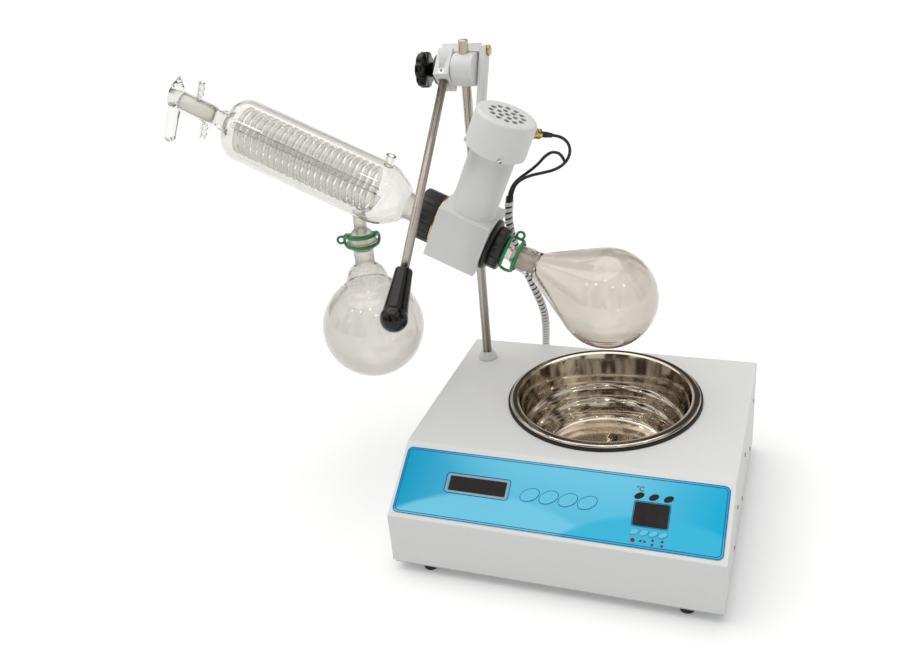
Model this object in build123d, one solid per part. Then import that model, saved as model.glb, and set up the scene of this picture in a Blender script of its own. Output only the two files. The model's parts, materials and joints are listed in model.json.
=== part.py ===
from build123d import *
import os
from math import atan2, cos, degrees, hypot, pi, radians, sin, sqrt, tan

# A benchtop rotary evaporator. +X runs along the base to the right, +Y to its back, +Z up.
# The origin is under the middle of the whole object, on the bench. Lengths are millimetres.

# Placing of the base's left front corner
base_left = -9.473
base_front = -192.5

# Fits and cuts
overrun = 5.0
running_fit = 0.05
seat_gap = 0.3
trim_gap = 0.15
full_turn = 360.0

# Base housing, folded sheet steel
shell_width = 406.7
shell_depth = 371.0
shell_height = 126.0
front_height = 70.0
slope_depth = 85.0
sheet = 1.5
bend_radius = 3.0
flange_width = 14.0
plate_inset = 2.0
tab_width = 14.0
side_screw_head_radius = 2.6
side_screw_head_height = 1.2
side_screw_radius = 1.5
side_screw_length = 6.0
top_screw_depth_shares = (0.32, 0.56, 0.9)
top_screw_height_shares = (0.51, 0.64, 0.68)
low_screw_depth_shares = (0.25, 0.52, 0.83)
low_screw_height_share = 0.19
foot_height = 12.5
foot_radius = 9.0
foot_side_inset = 44.0
foot_end_inset = 17.0
foot_round = 1.5
foot_screw_radius = 2.0

# Control panel, in the plane of the sloping face: along X and up the slope
panel_left = 4.0
panel_right_margin = 5.0
panel_bottom = 6.0
panel_top_margin = 8.0
panel_thickness = 0.8
panel_corner = 7.0
lcd_left = 69.0
lcd_width = 72.5
lcd_bottom = 43.0
lcd_height = 20.0
window_thickness = 0.6
display_left = 297.0
display_width = 40.0
display_bottom = 32.6
display_height = 28.6
window_corner = 2.0
key_major = 12.4
key_minor = 7.8
key_turn = 28.0
key_first = 171.7
key_pitch = 23.4
key_rise = 51.1
small_key_major = 5.6
small_key_minor = 3.3
small_key_first = 301.0
small_key_pitch = 10.7
small_key_rise = 24.8
key_cap = 0.7
key_lift = 0.6
key_stem_radius = 1.4
key_stem_play = 0.4
lamp_major = 6.0
lamp_minor = 3.6
lamp_first = 300.4
lamp_pitch = 17.0
lamp_rise = 68.5
board_gap = 3.0
board_thickness = 1.6
board_margin = 6.0
module_depth = 9.0

# Water bath
bath_x = 222.6
bath_y = 235.2
bath_sheet = 1.0
rim_radius = 125.0
rim_inner_radius = 113.5
rim_top = 7.0
gasket_height = 4.0
gasket_radius = 127.5
bath_depth = 84.0
step_radius = 107.0
step_depth = 40.0
low_step_radius = 98.0
low_step_depth = 58.0
step_width = 5.0
step_drop = 3.0
floor_radius = 87.0
floor_round = 8.0
step_round = 2.0
rim_round = 2.8
gasket_inner_radius = 116.0
heater_radius = 58.0
heater_tube_radius = 4.0
heater_lead = 26.0
heater_lead_spread = 12.0

# Back of the base: mains inlet, rocker switch and cable gland
inlet_width = 27.0
inlet_height = 20.0
inlet_flange = 4.0
inlet_flange_thickness = 2.0
inlet_depth = 22.0
inlet_wall = 2.5
inlet_from_right = 66.7
inlet_z = 45.0
pin_width = 2.0
pin_height = 4.0
pin_length = 14.0
pin_spread = 7.0
pin_drop = 2.5
switch_from_inlet = 50.0
switch_width = 13.0
switch_height = 19.0
switch_depth = 16.0
rocker_width = 9.4
rocker_height = 15.0
rocker_radius = 12.5
rocker_pin_radius = 1.2
rocker_play = 2.0
rocker_tilt = 10.0
gland_x = 90.0
gland_z = 62.0
gland_hex = 10.0
gland_nut_length = 7.0
gland_dome_length = 7.0
gland_thread_radius = 7.5
gland_thread_length = 8.0

# Inside the base
drive_board_width = 90.0
drive_board_depth = 60.0
drive_board_x = 110.0
drive_board_y = 60.0
standoff_height = 8.0
standoff_radius = 3.0
heatsink_fins = 6
heatsink_fin = 2.0
heatsink_height = 22.0
heatsink_width = 34.0
heatsink_depth = 24.0

# Column, its collar and its socket
column_x = 34.0
column_from_back = 54.1
column_radius = 6.25
column_top = 595.0
column_chamfer = 1.0
collar_radius = 14.0
collar_flange = 3.0
collar_top_radius = 9.5
collar_height = 11.0
socket_flange_radius = 24.0
socket_flange = 4.0
socket_radius = 12.0
socket_height = 34.0

# Clamp boss that slides on the column
pivot_height = 557.5
boss_radius = 21.0
boss_left = 20.6
boss_right = 49.0
boss_round = 1.5
trunnion_radius = 9.0
trunnion_left = 2.0
height_screw_radius = 4.0
height_screw_length = 14.0
socket_key_radius = 2.3
socket_key_depth = 4.0

# Yoke: block, lever, bar and arm
lever_lean = 46.0
block_side = 40.0
block_width = 20.0
block_round = 1.0
lever_offset = 4.5
lever_inner = 11.0
lever_radius = 5.5
lever_length = 267.0
grip_length = 80.0
grip_cover = 8.0
grip_top_radius = 10.3
grip_ball_radius = 17.0
grip_round = 2.5
lever_screw_rise = 6.0
lever_screw_radius = 4.0
bar_width = 15.0
bar_height = 13.0
bar_shift = 2.0
arm_thickness = 8.0
arm_width = 17.5
arm_lean = 25.0
arm_top_rise = 6.0
arm_top_round = 3.0
arm_foot_thickness = 5.0
arm_foot_half = 26.0
arm_foot_drop = 20.0
bolt_head_radius = 6.8
bolt_head_height = 3.4
bolt_radius = 4.0
bolt_length = 16.0
washer_radius = 19.0
washer_thickness = 3.0
knob_neck_radius = 9.5
knob_neck_length = 13.0
knob_radius = 22.5
knob_thickness = 11.0
knob_lobes = 7
knob_scallop_radius = 6.0
knob_scallop_depth = 1.8
knob_round = 2.0
stud_radius = 4.0
stud_reach = 14.0

# Head: its own frame has X along the rotor towards the flask, Y back and Z along the motor
head_x = 41.6
head_before_column = 71.9
head_below_pivot = 193.4
head_tilt = 23.6
housing_side = 71.2
housing_depth = 72.0
housing_wall = 5.0
housing_round = 1.5
cover_thickness = 3.0
cover_screw_inset = 6.0
cover_screw_radius = 1.5
cover_screw_head_radius = 2.8
cover_screw_head_height = 2.0
cover_screw_length = 9.0
bearing_outer_radius = 18.0
bearing_width = 8.0
bearing_setback = 1.6
bearing_boss_radius = 24.0
bearing_boss_reach = 6.0
bearing_groove = 0.8
spigot_radius = 27.0
spigot_length = 18.0
shaft_radius = 14.0
shaft_bore = 10.8
shaft_left = 33.5
shaft_right = 43.0
gear_teeth = 20
pinion_teeth = 10
cone_length = 32.0
face_share = 0.28
tooth_height = 1.5
tooth_root = 1.8
tooth_width_share = 0.2
gear_hub_radius = 18.0
gear_hub_end = 23.0
pinion_hub_end = 38.0
flange_radius = 34.0
flange_gap = 0.6
flange_end = 42.0
drive_nut_radius = 28.0
drive_nut_end = 57.0
drive_nut_lobes = 12
drive_nut_groove = 2.2
drive_nut_chamfer = 1.5

# Motor on top of the gear housing
tube_radius = 29.5
tube_wall = 2.0
tube_top = 124.0
bead_radius = 31.0
bead_height = 3.0
tube_flange_thickness = 3.0
cap_radius = 39.4
cap_bottom = 123.0
cap_top = 169.6
cap_wall = 2.0
cap_round = 4.5
vent_radius = 3.8
vent_inner_ring = 10.6
vent_outer_ring = 20.6
vent_inner_count = 6
vent_outer_count = 12
cap_screw_radius = 1.5
cap_screw_head_radius = 3.0
cap_screw_head_height = 1.4
cap_screw_turn = -65.0
cap_screw_length = 5.0
motor_radius = 25.5
motor_bottom = 52.0
motor_top = 128.0
motor_flange_radius = 27.0
motor_shaft_radius = 4.0
motor_shaft_bottom = 26.0
motor_shaft_top = 146.0
fan_bottom = 134.0
fan_height = 9.0
fan_radius = 30.0
fan_hub_radius = 9.0
fan_blades = 7
fan_blade_thickness = 1.4
fan_blade_pitch = 35.0
cable_gland_turn = 45.0
cable_gland_height = 148.0
cable_gland_radius = 7.0
cable_gland_length = 17.0
cable_gland_nut_length = 9.0
cable_gland_inside = 6.0
sleeve_radius = 3.8
sleeve_length = 18.0
sleeve_tip_radius = 3.0

# Glassware
glass_wall = 1.8
vapour_radius = 10.0
vapour_left = 58.0
cone_start = 73.5
cone_end = 101.0
cone_start_radius = 14.6
cone_end_radius = 13.3
vapour_bead_radius = 13.0
vapour_bead_start = 43.6
vapour_bead_end = 49.0
seal_start = 40.0
seal_end = 52.0
flask_mouth = 73.0
flask_rim_radius = 19.2
flask_rim_width = 4.5
flask_neck_radius = 16.8
flask_neck_end = 104.0
flask_centre = 202.2
flask_radius = 64.6
flask_neck_round = 6.0
condenser_flange_radius = 24.0
condenser_flange_start = 54.3
condenser_flange_thickness = 4.0
condenser_neck_radius = 17.0
condenser_neck_end = 83.0
condenser_shoulder_start = 88.0
condenser_shoulder_radius = 26.0
condenser_shoulder_end = 115.0
condenser_left = 351.0
condenser_radius = 42.0
condenser_left_round = 24.0
condenser_right_round = 26.0
condenser_neck_round = 4.0
condenser_stem_radius = 11.0
barrel_start = 378.0
barrel_end = 426.0
barrel_radius = 14.0
key_plug_radius = 10.0
key_plug_start = 374.0
key_hub_end = 446.0
key_hub_radius = 12.0
key_leg_radius = 8.2
key_leg_length = 57.0
key_tip_length = 32.0
key_tip_radius = 2.0
nipple_middle = 395.0
nipple_stagger = 7.5
nipple_radius = 4.0
nipple_bore = 2.4
nipple_barb_radius = 5.2
nipple_barb_length = 4.0
nipple_barbs = 2
nipple_length = 24.0
nipple_plain = 7.0
port_at = 124.0
port_radius = 6.5
port_length = 14.0
port_bore = 4.0
coil_left = 335.0
coil_right = 128.0
coil_radius = 29.0
coil_tube_radius = 3.2
coil_pitch = 11.5
nut_ring_radius = 34.4
nut_ring_thickness = 2.4
nut_radius = 33.5
nut_end = 66.0
nut_groove_count = 18
nut_groove = 1.4
nut_chamfer = 2.0

# Receiving flask on its ball joint
ball_x = -107.5
ball_below_pivot = 210.9
ball_radius = 17.5
ball_cut = 13.5
spout_radius = 8.5
cup_wall = 2.4
cup_top = 1.5
cup_rim_radius = 21.0
cup_rim_width = 2.5
receiver_neck_radius = 13.5
receiver_neck_top = 15.0
receiver_neck_end = 40.0
receiver_flare_radius = 30.0
receiver_flare_end = 66.0
receiver_drop = 131.2
receiver_radius = 71.5
receiver_neck_round = 6.0

# Joint clips
clip_wall = 2.4
clip_lip = 2.0
clip_open_turn = 80.0
clip_window_turn = 56.0
clip_window_rail = 3.2
clip_loop_radius = 5.0
clip_loop_wire = 1.3
clip_start = 57.5
clip_end = 80.5
receiver_clip_below = 7.0
receiver_clip_above = 13.0
receiver_clip_radius = 22.0
receiver_lip_low = 20.0
receiver_lip_high = 14.5

# Cords. Their routes are chosen by hand, measured from the base's left front corner
cable_diameter = 4.0
harness_diameter = 12.0
strand_spread = 2.7
cable_lead = 14.0
cable_points = (
    (167.5, 312.5, 463.5), (168.5, 312.0, 449.5), (161.0, 308.5, 437.5), (148.5, 304.0, 431.0),
    (133.0, 300.0, 428.0), (117.0, 297.0, 425.0), (103.0, 296.0, 418.0), (94.0, 298.5, 407.0),
    (90.7, 301.2, 395.4),
)
loop_points = (
    (86.5, 303.1, 395.8), (90.0, 305.0, 407.0), (100.0, 306.5, 417.5), (114.0, 307.5, 427.0),
    (127.0, 308.0, 437.5), (136.5, 308.5, 448.5), (147.0, 308.5, 454.5), (159.0, 307.0, 451.0),
    (164.0, 303.5, 440.0),
)
harness_points = (
    (88.0, 301.0, 394.0), (84.0, 302.0, 375.0), (84.0, 304.0, 348.0), (90.0, 309.0, 316.0),
    (100.0, 317.0, 281.0), (109.0, 330.0, 244.0), (113.0, 348.0, 209.0), (109.0, 369.0, 178.0),
    (102.0, 391.0, 149.0), (96.0, 410.0, 123.0), (92.0, 420.0, 100.0), (90.0, 414.0, 84.0),
    (90.0, 400.0, 76.0),
)

# Worked out from the above
shell_bottom = foot_height + sheet
shell_top = shell_bottom + shell_height
base_back = base_front + shell_depth
base_right = base_left + shell_width
slope_rise = shell_height - front_height
slope_length = hypot(slope_depth, slope_rise)
panel_width = shell_width - panel_left - panel_right_margin
panel_height = slope_length - panel_bottom - panel_top_margin
column_y = shell_depth - column_from_back
head_y = column_y - head_before_column
head_z = pivot_height - head_below_pivot
ball_z = pivot_height - ball_below_pivot
pivot_x = base_left + column_x
pivot_y = base_front + column_y
tilt = radians(head_tilt)
lean = radians(lever_lean)
gear_cone = atan2(gear_teeth, pinion_teeth)
pinion_cone = pi / 2 - gear_cone

head_frame = Plane(
    origin=(base_left + head_x, base_front + head_y, head_z),
    x_dir=(cos(tilt), 0, -sin(tilt)),
    z_dir=(sin(tilt), 0, cos(tilt)),
)
slope_frame = Plane(
    origin=(base_left, base_front, shell_bottom + front_height),
    x_dir=(1, 0, 0),
    z_dir=(0, -slope_rise, slope_depth),
)
# Block frame: X along the pivot, Y back and down, Z against the lever's line
block_frame = Plane(
    origin=(base_left, pivot_y, pivot_height),
    x_dir=(1, 0, 0),
    z_dir=(0, sin(lean), cos(lean)),
)


def on_head(shape):
    return head_frame.location * shape


def on_slope(shape):
    return slope_frame.location * shape


def on_block(shape):
    return block_frame.location * shape


def span(x0, x1, y0, y1, z0, z1):
    middle = ((x0 + x1) / 2, (y0 + y1) / 2, (z0 + z1) / 2)
    return Pos(*middle) * Box(abs(x1 - x0), abs(y1 - y0), abs(z1 - z0))


def rod(radius, start, end):
    """A round bar along Z from start to end."""
    low = min(start, end)
    return Pos(0, 0, low) * Cylinder(radius, abs(end - start), align=(Align.CENTER, Align.CENTER, Align.MIN))


def rod_x(radius, start, end):
    return Rot(0, 90, 0) * rod(radius, start, end)


def rod_y(radius, start, end):
    return Rot(-90, 0, 0) * rod(radius, start, end)


def tube(outer, inner, start, end):
    return rod(outer, start, end) - rod(inner, min(start, end) - overrun, max(start, end) + overrun)


def tube_x(outer, inner, start, end):
    return Rot(0, 90, 0) * tube(outer, inner, start, end)


def spun_z(points):
    """Turns an outline of (radius, height) points about Z."""
    outline = Polyline(*[(r, 0, z) for r, z in points], close=True)
    return revolve(make_face(outline), Axis.Z)


def spun_x(points):
    """Turns an outline of (place, radius) points about X."""
    outline = Polyline(*[(x, r) for x, r in points], close=True)
    return revolve(make_face(outline), Axis.X)


def around(count, shape, start=0.0, axis=(0, 0, 1)):
    """Copies of a shape evenly spaced about an axis through the origin."""
    copies = []
    for index in range(count):
        turn = start + full_turn * index / count
        copies.append(Rot(turn * axis[0], turn * axis[1], turn * axis[2]) * shape)
    return copies


def inlet_x():
    """Where the mains inlet's middle lies along the back, from the left."""
    return shell_width - inlet_from_right


def switch_x():
    return inlet_x() - switch_from_inlet


def base_outline(inset):
    """The base's side view, as a face across X, set in by a distance."""
    corners = [
        (0, 0),
        (0, front_height),
        (slope_depth, shell_height),
        (shell_depth, shell_height),
        (shell_depth, 0),
    ]
    outline = Plane.YZ * make_face(Polyline(*corners, close=True))
    outline = fillet(outline.vertices(), bend_radius)
    if inset:
        outline = offset(outline, -inset)
    return outline


def base_block(inset, x0, x1):
    slab = extrude(base_outline(inset), x1 - x0, dir=(1, 0, 0))
    return Pos(base_left + x0, base_front, shell_bottom) * slab


def side_screw_places():
    places = []
    for y_share, z_share in zip(top_screw_depth_shares, top_screw_height_shares):
        places.append((base_front + y_share * shell_depth, shell_bottom + z_share * shell_height, True))
    for y_share in low_screw_depth_shares:
        place = (base_front + y_share * shell_depth, shell_bottom + low_screw_height_share * shell_height)
        places.append((*place, False))
    return places


def side_ends():
    """For each end of the base: the cover's outer face and the way into the base."""
    return ((base_left, 1), (base_right, -1))


def screw_tab(y, z_low, z_high, face, way):
    """A welded tab behind a side cover, with its screw's hole."""
    x0 = face + way * sheet
    return span(x0, x0 + way * sheet, y - tab_width / 2, y + tab_width / 2, z_low, z_high)


def screw_line(radius, y, z, face, way, start, end):
    return Pos(face, y, z) * rod_x(radius, way * start, way * end)


def base_shell():
    shell = base_block(0, sheet, shell_width - sheet) - base_block(sheet, -overrun, shell_width + overrun)
    shell -= span(
        base_left - overrun, base_right + overrun,
        base_front + flange_width, base_back - flange_width,
        shell_bottom - overrun, shell_bottom + sheet + bend_radius,
    )
    room = base_block(sheet, sheet, shell_width - sheet)
    for face, way in side_ends():
        for y, z, upper in side_screw_places():
            if upper:
                tab = screw_tab(y, z - tab_width / 2, shell_top, face, way)
                shell += tab & room
        for y, z, upper in side_screw_places():
            if upper:
                shell -= screw_line(side_screw_radius + running_fit, y, z, face, way, 0, sheet + overrun)
    shell -= Pos(base_left + bath_x, base_front + bath_y, 0) * rod(
        gasket_inner_radius - sheet, shell_top - overrun, shell_top + overrun
    )
    shell -= Pos(pivot_x, pivot_y, 0) * rod(column_radius + seat_gap, shell_top - overrun, shell_top + overrun)
    shell -= on_slope(Pos(0, 0, -overrun) * extrude(slope_holes(), 2 * overrun))
    for x, z, width, height in back_holes():
        shell -= span(
            base_left + x - width / 2, base_left + x + width / 2,
            base_back - flange_width, base_back + overrun,
            shell_bottom + z - height / 2, shell_bottom + z + height / 2,
        )
    hole = rod_y(gland_thread_radius + running_fit, -flange_width, overrun)
    shell -= Pos(base_left + gland_x, base_back, shell_bottom + gland_z) * hole
    return shell


def back_holes():
    inlet = (inlet_x(), inlet_z, inlet_width + 2 * trim_gap, inlet_height + 2 * trim_gap)
    switch = (switch_x(), inlet_z, switch_width + 2 * trim_gap, switch_height + 2 * trim_gap)
    return (inlet, switch)


def key_places():
    """Each key's name, middle in the slope's plane and half axes."""
    places = []
    for index in range(4):
        x = key_first + index * key_pitch
        places.append((f"drive_key_{index + 1}", x, key_rise, key_major, key_minor))
    for index in range(4):
        x = small_key_first + index * small_key_pitch
        places.append((f"heater_key_{index + 1}", x, small_key_rise, small_key_major, small_key_minor))
    return places


def lamp_places():
    return [(lamp_first + index * lamp_pitch, lamp_rise) for index in range(3)]


def oval(x, y, major, minor):
    return Pos(x, y) * Rot(0, 0, key_turn) * Ellipse(major, minor)


def window_outline(left, bottom, width, height, grow):
    return Pos(left + width / 2, bottom + height / 2) * RectangleRounded(
        width + 2 * grow, height + 2 * grow, window_corner
    )


def lcd_outline(grow):
    return window_outline(lcd_left, lcd_bottom, lcd_width, lcd_height, grow)


def display_outline(grow):
    return window_outline(display_left, display_bottom, display_width, display_height, grow)


def slope_holes():
    """What is cut through the sloping face of the shell."""
    holes = lcd_outline(-window_corner / 2) + display_outline(-window_corner / 2)
    for name, x, y, major, minor in key_places():
        holes += Pos(x, y) * Circle(key_stem_radius + key_stem_play)
    for x, y in lamp_places():
        holes += Pos(x, y) * Circle(key_stem_radius + key_stem_play)
    return holes


def control_panel():
    middle = (panel_left + panel_width / 2, panel_bottom + panel_height / 2)
    film = Pos(*middle) * RectangleRounded(panel_width, panel_height, panel_corner)
    film -= lcd_outline(trim_gap) + display_outline(trim_gap)
    for name, x, y, major, minor in key_places():
        film -= oval(x, y, major + trim_gap, minor + trim_gap)
    for x, y in lamp_places():
        film -= oval(x, y, lamp_major + trim_gap, lamp_minor + trim_gap)
    return on_slope(extrude(film, panel_thickness))


def panel_key(x, y, major, minor):
    """A key's oval cap, with the stem that reaches its switch through the shell."""
    cap = Pos(0, 0, key_lift) * extrude(oval(x, y, major, minor), key_cap)
    stem = Pos(x, y, 0) * rod(key_stem_radius, key_lift, seat_gap + key_travel() - board_gap - sheet)
    return on_slope(cap + stem)


def key_travel():
    return key_lift - trim_gap


def panel_windows():
    """The two display windows and three oval lenses, each lens with its light pipe to the board."""
    lamps = [
        on_slope(extrude(lcd_outline(0), window_thickness)),
        on_slope(extrude(display_outline(0), window_thickness)),
    ]
    for x, y in lamp_places():
        lens = extrude(oval(x, y, lamp_major, lamp_minor), window_thickness)
        pipe = Pos(x, y, 0) * rod(key_stem_radius, 0, -sheet - board_gap)
        lamps.append(on_slope(lens + pipe))
    return Compound(lamps)


def key_board():
    """The circuit board behind the panel, with the two display modules on it."""
    left = lcd_left - board_margin
    right = display_left + display_width + board_margin
    low = small_key_rise - board_margin
    high = lamp_rise + board_margin
    top = -sheet - board_gap
    board = span(left, right, low, high, top, top - board_thickness)
    for outline in (lcd_outline(-window_corner), display_outline(-window_corner)):
        board += Pos(0, 0, top - board_thickness) * extrude(outline, board_thickness + board_gap + sheet)
    board += span(left, left + lcd_width, low, high, top - board_thickness, top - module_depth)
    return on_slope(board)


def side_cover(face, way):
    cover = base_block(0, 0, sheet)
    if way < 0:
        cover = base_block(0, shell_width - sheet, shell_width)
    for y, z, upper in side_screw_places():
        cover -= screw_line(side_screw_radius + running_fit, y, z, face, way, -overrun, sheet + overrun)
    return cover


def side_screws():
    screws = []
    for face, way in side_ends():
        for y, z, upper in side_screw_places():
            head = screw_line(side_screw_head_radius, y, z, face, way, -side_screw_head_height, 0)
            shank = screw_line(side_screw_radius, y, z, face, way, 0, side_screw_length)
            screws.append(head + shank)
    return Compound(screws)


def foot_places():
    places = []
    for x in (foot_side_inset, shell_width - foot_side_inset):
        for y in (foot_end_inset, shell_depth - foot_end_inset):
            places.append((base_left + x, base_front + y))
    return places


def bottom_plate():
    """The floor of the base, with tabs turned up for the lower side screws."""
    plate = span(
        base_left + plate_inset, base_right - plate_inset,
        base_front + plate_inset, base_back - plate_inset,
        foot_height, shell_bottom,
    )
    for face, way in side_ends():
        for y, z, upper in side_screw_places():
            if not upper:
                tab = screw_tab(y, foot_height, z + tab_width / 2, face, way)
                plate += span(
                    face + way * sheet, face + way * tab_width,
                    y - tab_width / 2, y + tab_width / 2, foot_height, shell_bottom,
                )
                plate += tab
                plate -= screw_line(side_screw_radius + running_fit, y, z, face, way, 0, sheet + overrun)
    for x, y in foot_places():
        plate -= Pos(x, y, 0) * rod(foot_screw_radius + running_fit, 0, shell_bottom + overrun)
    return plate + column_socket()


def foot(x, y):
    pad = fillet(rod(foot_radius, 0, foot_height).edges().group_by(Axis.Z)[0], foot_round)
    pad += rod(foot_screw_radius, foot_height, shell_bottom)
    return Pos(x, y, 0) * pad


def on_bath(shape):
    return Pos(base_left + bath_x, base_front + bath_y, shell_top) * shape


def bath_line():
    """The bath's section from the middle of its floor to the lip, as one line."""
    points = (
        (0, -bath_depth),
        (floor_radius, -bath_depth),
        (low_step_radius - step_width, -low_step_depth - step_drop),
        (low_step_radius, -low_step_depth),
        (step_radius - step_width, -step_depth - step_drop),
        (step_radius, -step_depth),
        (rim_inner_radius, rim_top),
        (rim_radius, rim_top),
        (rim_radius, gasket_height - bath_sheet),
    )
    rounds = (floor_round, step_round, step_round, step_round, step_round, rim_round, rim_round)
    return Plane.XZ * FilletPolyline(*points, radius=rounds)


def bath_bowl():
    wall = offset(bath_line(), bath_sheet, side=Side.LEFT)
    return on_bath(revolve(make_face(wall.edges()), Axis.Z))


def bath_gasket():
    return on_bath(tube(gasket_radius, gasket_inner_radius, 0, gasket_height - bath_sheet))


def heating_element():
    """A ring of sheathed heater tube under the bath's floor, with its two cold ends."""
    height = -bath_depth - bath_sheet - heater_tube_radius
    ring = Pos(0, 0, height) * Torus(heater_radius, heater_tube_radius)
    ring -= Pos(heater_radius, 0, height) * Box(
        2 * heater_tube_radius + overrun, heater_lead_spread, 2 * heater_tube_radius + overrun
    )
    turn = degrees(heater_lead_spread / 2 / heater_radius)
    for way in (-1, 1):
        end = Pos(heater_radius, 0, 0) * Rot(0, 90, 0) * rod(heater_tube_radius, 0, heater_lead)
        ring += Rot(0, 0, way * (turn + heater_tube_radius / 2)) * Pos(0, 0, height) * end
    return on_bath(ring)


def mains_inlet():
    """A three-pin appliance inlet in a flanged shell, open to the back."""
    body = span(-inlet_width / 2, inlet_width / 2, -inlet_depth, 0, -inlet_height / 2, inlet_height / 2)
    rim = inlet_width / 2 + inlet_flange
    rise = inlet_height / 2 + inlet_flange
    body += span(-rim, rim, 0, inlet_flange_thickness, -rise, rise)
    hole_x = inlet_width / 2 - inlet_wall
    hole_z = inlet_height / 2 - inlet_wall
    body -= span(-hole_x, hole_x, inlet_wall - inlet_depth, overrun, -hole_z, hole_z)
    for x, z in ((-pin_spread, -pin_drop), (pin_spread, -pin_drop), (0, pin_drop)):
        start = inlet_wall - inlet_depth
        body += span(
            x - pin_width / 2, x + pin_width / 2, start, start + pin_length, z - pin_height / 2, z + pin_height / 2
        )
    return Pos(base_left + inlet_x(), base_back, shell_bottom + inlet_z) * body


def power_inlet():
    """The mains inlet and the frame of its switch, moulded in one piece."""
    left = base_left + switch_x() + switch_width / 2
    right = base_left + inlet_x() - inlet_width / 2
    middle = shell_bottom + inlet_z
    rise = inlet_height / 2 + inlet_flange
    bridge = span(left, right, base_back, base_back + inlet_flange_thickness, middle - rise, middle + rise)
    return mains_inlet() + switch_frame() + bridge


def on_switch(shape):
    return Pos(base_left + switch_x(), base_back, shell_bottom + inlet_z) * shape


def rocker_axis():
    """How far the rocker's pivot lies inside the back face."""
    return rocker_radius - 2 * inlet_flange_thickness


def switch_frame():
    body = span(-switch_width / 2, switch_width / 2, -switch_depth, 0, -switch_height / 2, switch_height / 2)
    rim = switch_width / 2 + inlet_flange_thickness
    rise = switch_height / 2 + inlet_flange_thickness
    body += span(-rim, rim, 0, inlet_flange_thickness, -rise, rise)
    room = rocker_width / 2 + seat_gap
    high = rocker_height / 2 + seat_gap
    body -= span(-room, room, inlet_flange_thickness - switch_depth, overrun, -high, high)
    body -= Pos(0, -rocker_axis(), 0) * rod_x(rocker_pin_radius + running_fit, -rim, rim)
    return on_switch(body)


def power_rocker():
    """The rocker and its pivot pin: a rounded key cut hollow on its face."""
    body = Pos(0, -rocker_axis(), 0) * rod_x(rocker_radius, -rocker_width / 2, rocker_width / 2)
    high = rocker_height / 2 - rocker_play
    body &= span(-rocker_width, rocker_width, -rocker_axis() - rocker_pin_radius * 2, rocker_radius, -high, high)
    dish = Pos(0, rocker_radius + 2 * inlet_flange_thickness, 0) * rod_x(rocker_radius, -rocker_width, rocker_width)
    body -= dish
    pin_half = switch_width / 2
    body += Pos(0, -rocker_axis(), 0) * rod_x(rocker_pin_radius, -pin_half, pin_half)
    tilted = Rot(rocker_tilt, 0, 0) * Pos(0, rocker_axis(), 0) * body
    return on_switch(Pos(0, -rocker_axis(), 0) * tilted)


def base_gland():
    """The harness's nylon gland in the back of the base."""
    nut = extrude(RegularPolygon(gland_hex, 6), gland_nut_length)
    dome = Pos(0, 0, gland_nut_length) * rod(gland_hex - cap_wall, 0, gland_dome_length)
    dome = fillet(dome.edges().group_by(Axis.Z)[-1], cap_wall)
    thread = rod(gland_thread_radius, -gland_thread_length, 0)
    body = Rot(-90, 0, 0) * (nut + dome + thread)
    return Pos(base_left + gland_x, base_back, shell_bottom + gland_z) * body


def drive_board():
    """The power board on four pillars, with the finned heatsink of its driver."""
    board = span(0, drive_board_width, 0, drive_board_depth, standoff_height, standoff_height + board_thickness)
    for x in (standoff_radius, drive_board_width - standoff_radius):
        for y in (standoff_radius, drive_board_depth - standoff_radius):
            board += Pos(x, y, 0) * rod(standoff_radius, 0, standoff_height)
    top = standoff_height + board_thickness
    board += Pos(standoff_radius * 2, standoff_radius * 2, top) * span(
        0, heatsink_width, 0, heatsink_depth, 0, 2 * heatsink_fin
    )
    pitch = (heatsink_width - heatsink_fin) / (heatsink_fins - 1)
    for index in range(heatsink_fins):
        fin = span(index * pitch, index * pitch + heatsink_fin, 0, heatsink_depth, 0, heatsink_height)
        board += Pos(standoff_radius * 2, standoff_radius * 2, top) * fin
    return Pos(base_left + drive_board_x, base_front + drive_board_y, shell_bottom) * board


def column():
    bar = rod(column_radius, shell_bottom + socket_flange / 2, column_top)
    bar = chamfer(bar.edges().group_by(Axis.Z)[-1], column_chamfer)
    return Pos(pivot_x, pivot_y, 0) * bar


def column_collar():
    profile = (
        (column_radius + running_fit, 0),
        (collar_radius, 0),
        (collar_radius, collar_flange),
        (collar_top_radius, collar_height),
        (column_radius + running_fit, collar_height),
    )
    return Pos(pivot_x, pivot_y, shell_top) * spun_z(profile)


def column_socket():
    """The flanged socket on the base's floor that holds the column's foot."""
    body = rod(socket_flange_radius, 0, socket_flange) + rod(socket_radius, 0, socket_height)
    body -= rod(column_radius + running_fit, socket_flange / 2, socket_height + overrun)
    return Pos(pivot_x, pivot_y, shell_bottom) * body


def clamp_boss():
    """The round boss on the column, with the trunnion that the yoke turns on."""
    body = rod_x(boss_radius, boss_left, boss_right)
    body = fillet(body.edges().filter_by(GeomType.CIRCLE), boss_round)
    body += rod_x(trunnion_radius, trunnion_left, boss_left + overrun)
    body -= rod_x(stud_radius + running_fit, 0, stud_reach + seat_gap)
    body -= Pos(column_x, 0, 0) * rod(column_radius + running_fit, -boss_radius - overrun, boss_radius + overrun)
    body -= Pos(column_x, 0, 0) * rod_y(height_screw_radius + running_fit, 0, boss_radius + overrun)
    return Pos(base_left, pivot_y, pivot_height) * body


def height_screw():
    start = column_radius + seat_gap
    screw = rod_y(height_screw_radius, start, start + height_screw_length)
    end = start + height_screw_length
    key = Plane.XZ * RegularPolygon(socket_key_radius, 6)
    screw -= Pos(0, end, 0) * extrude(key, socket_key_depth, dir=(0, -1, 0))
    return Pos(pivot_x, pivot_y, pivot_height) * screw


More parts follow.
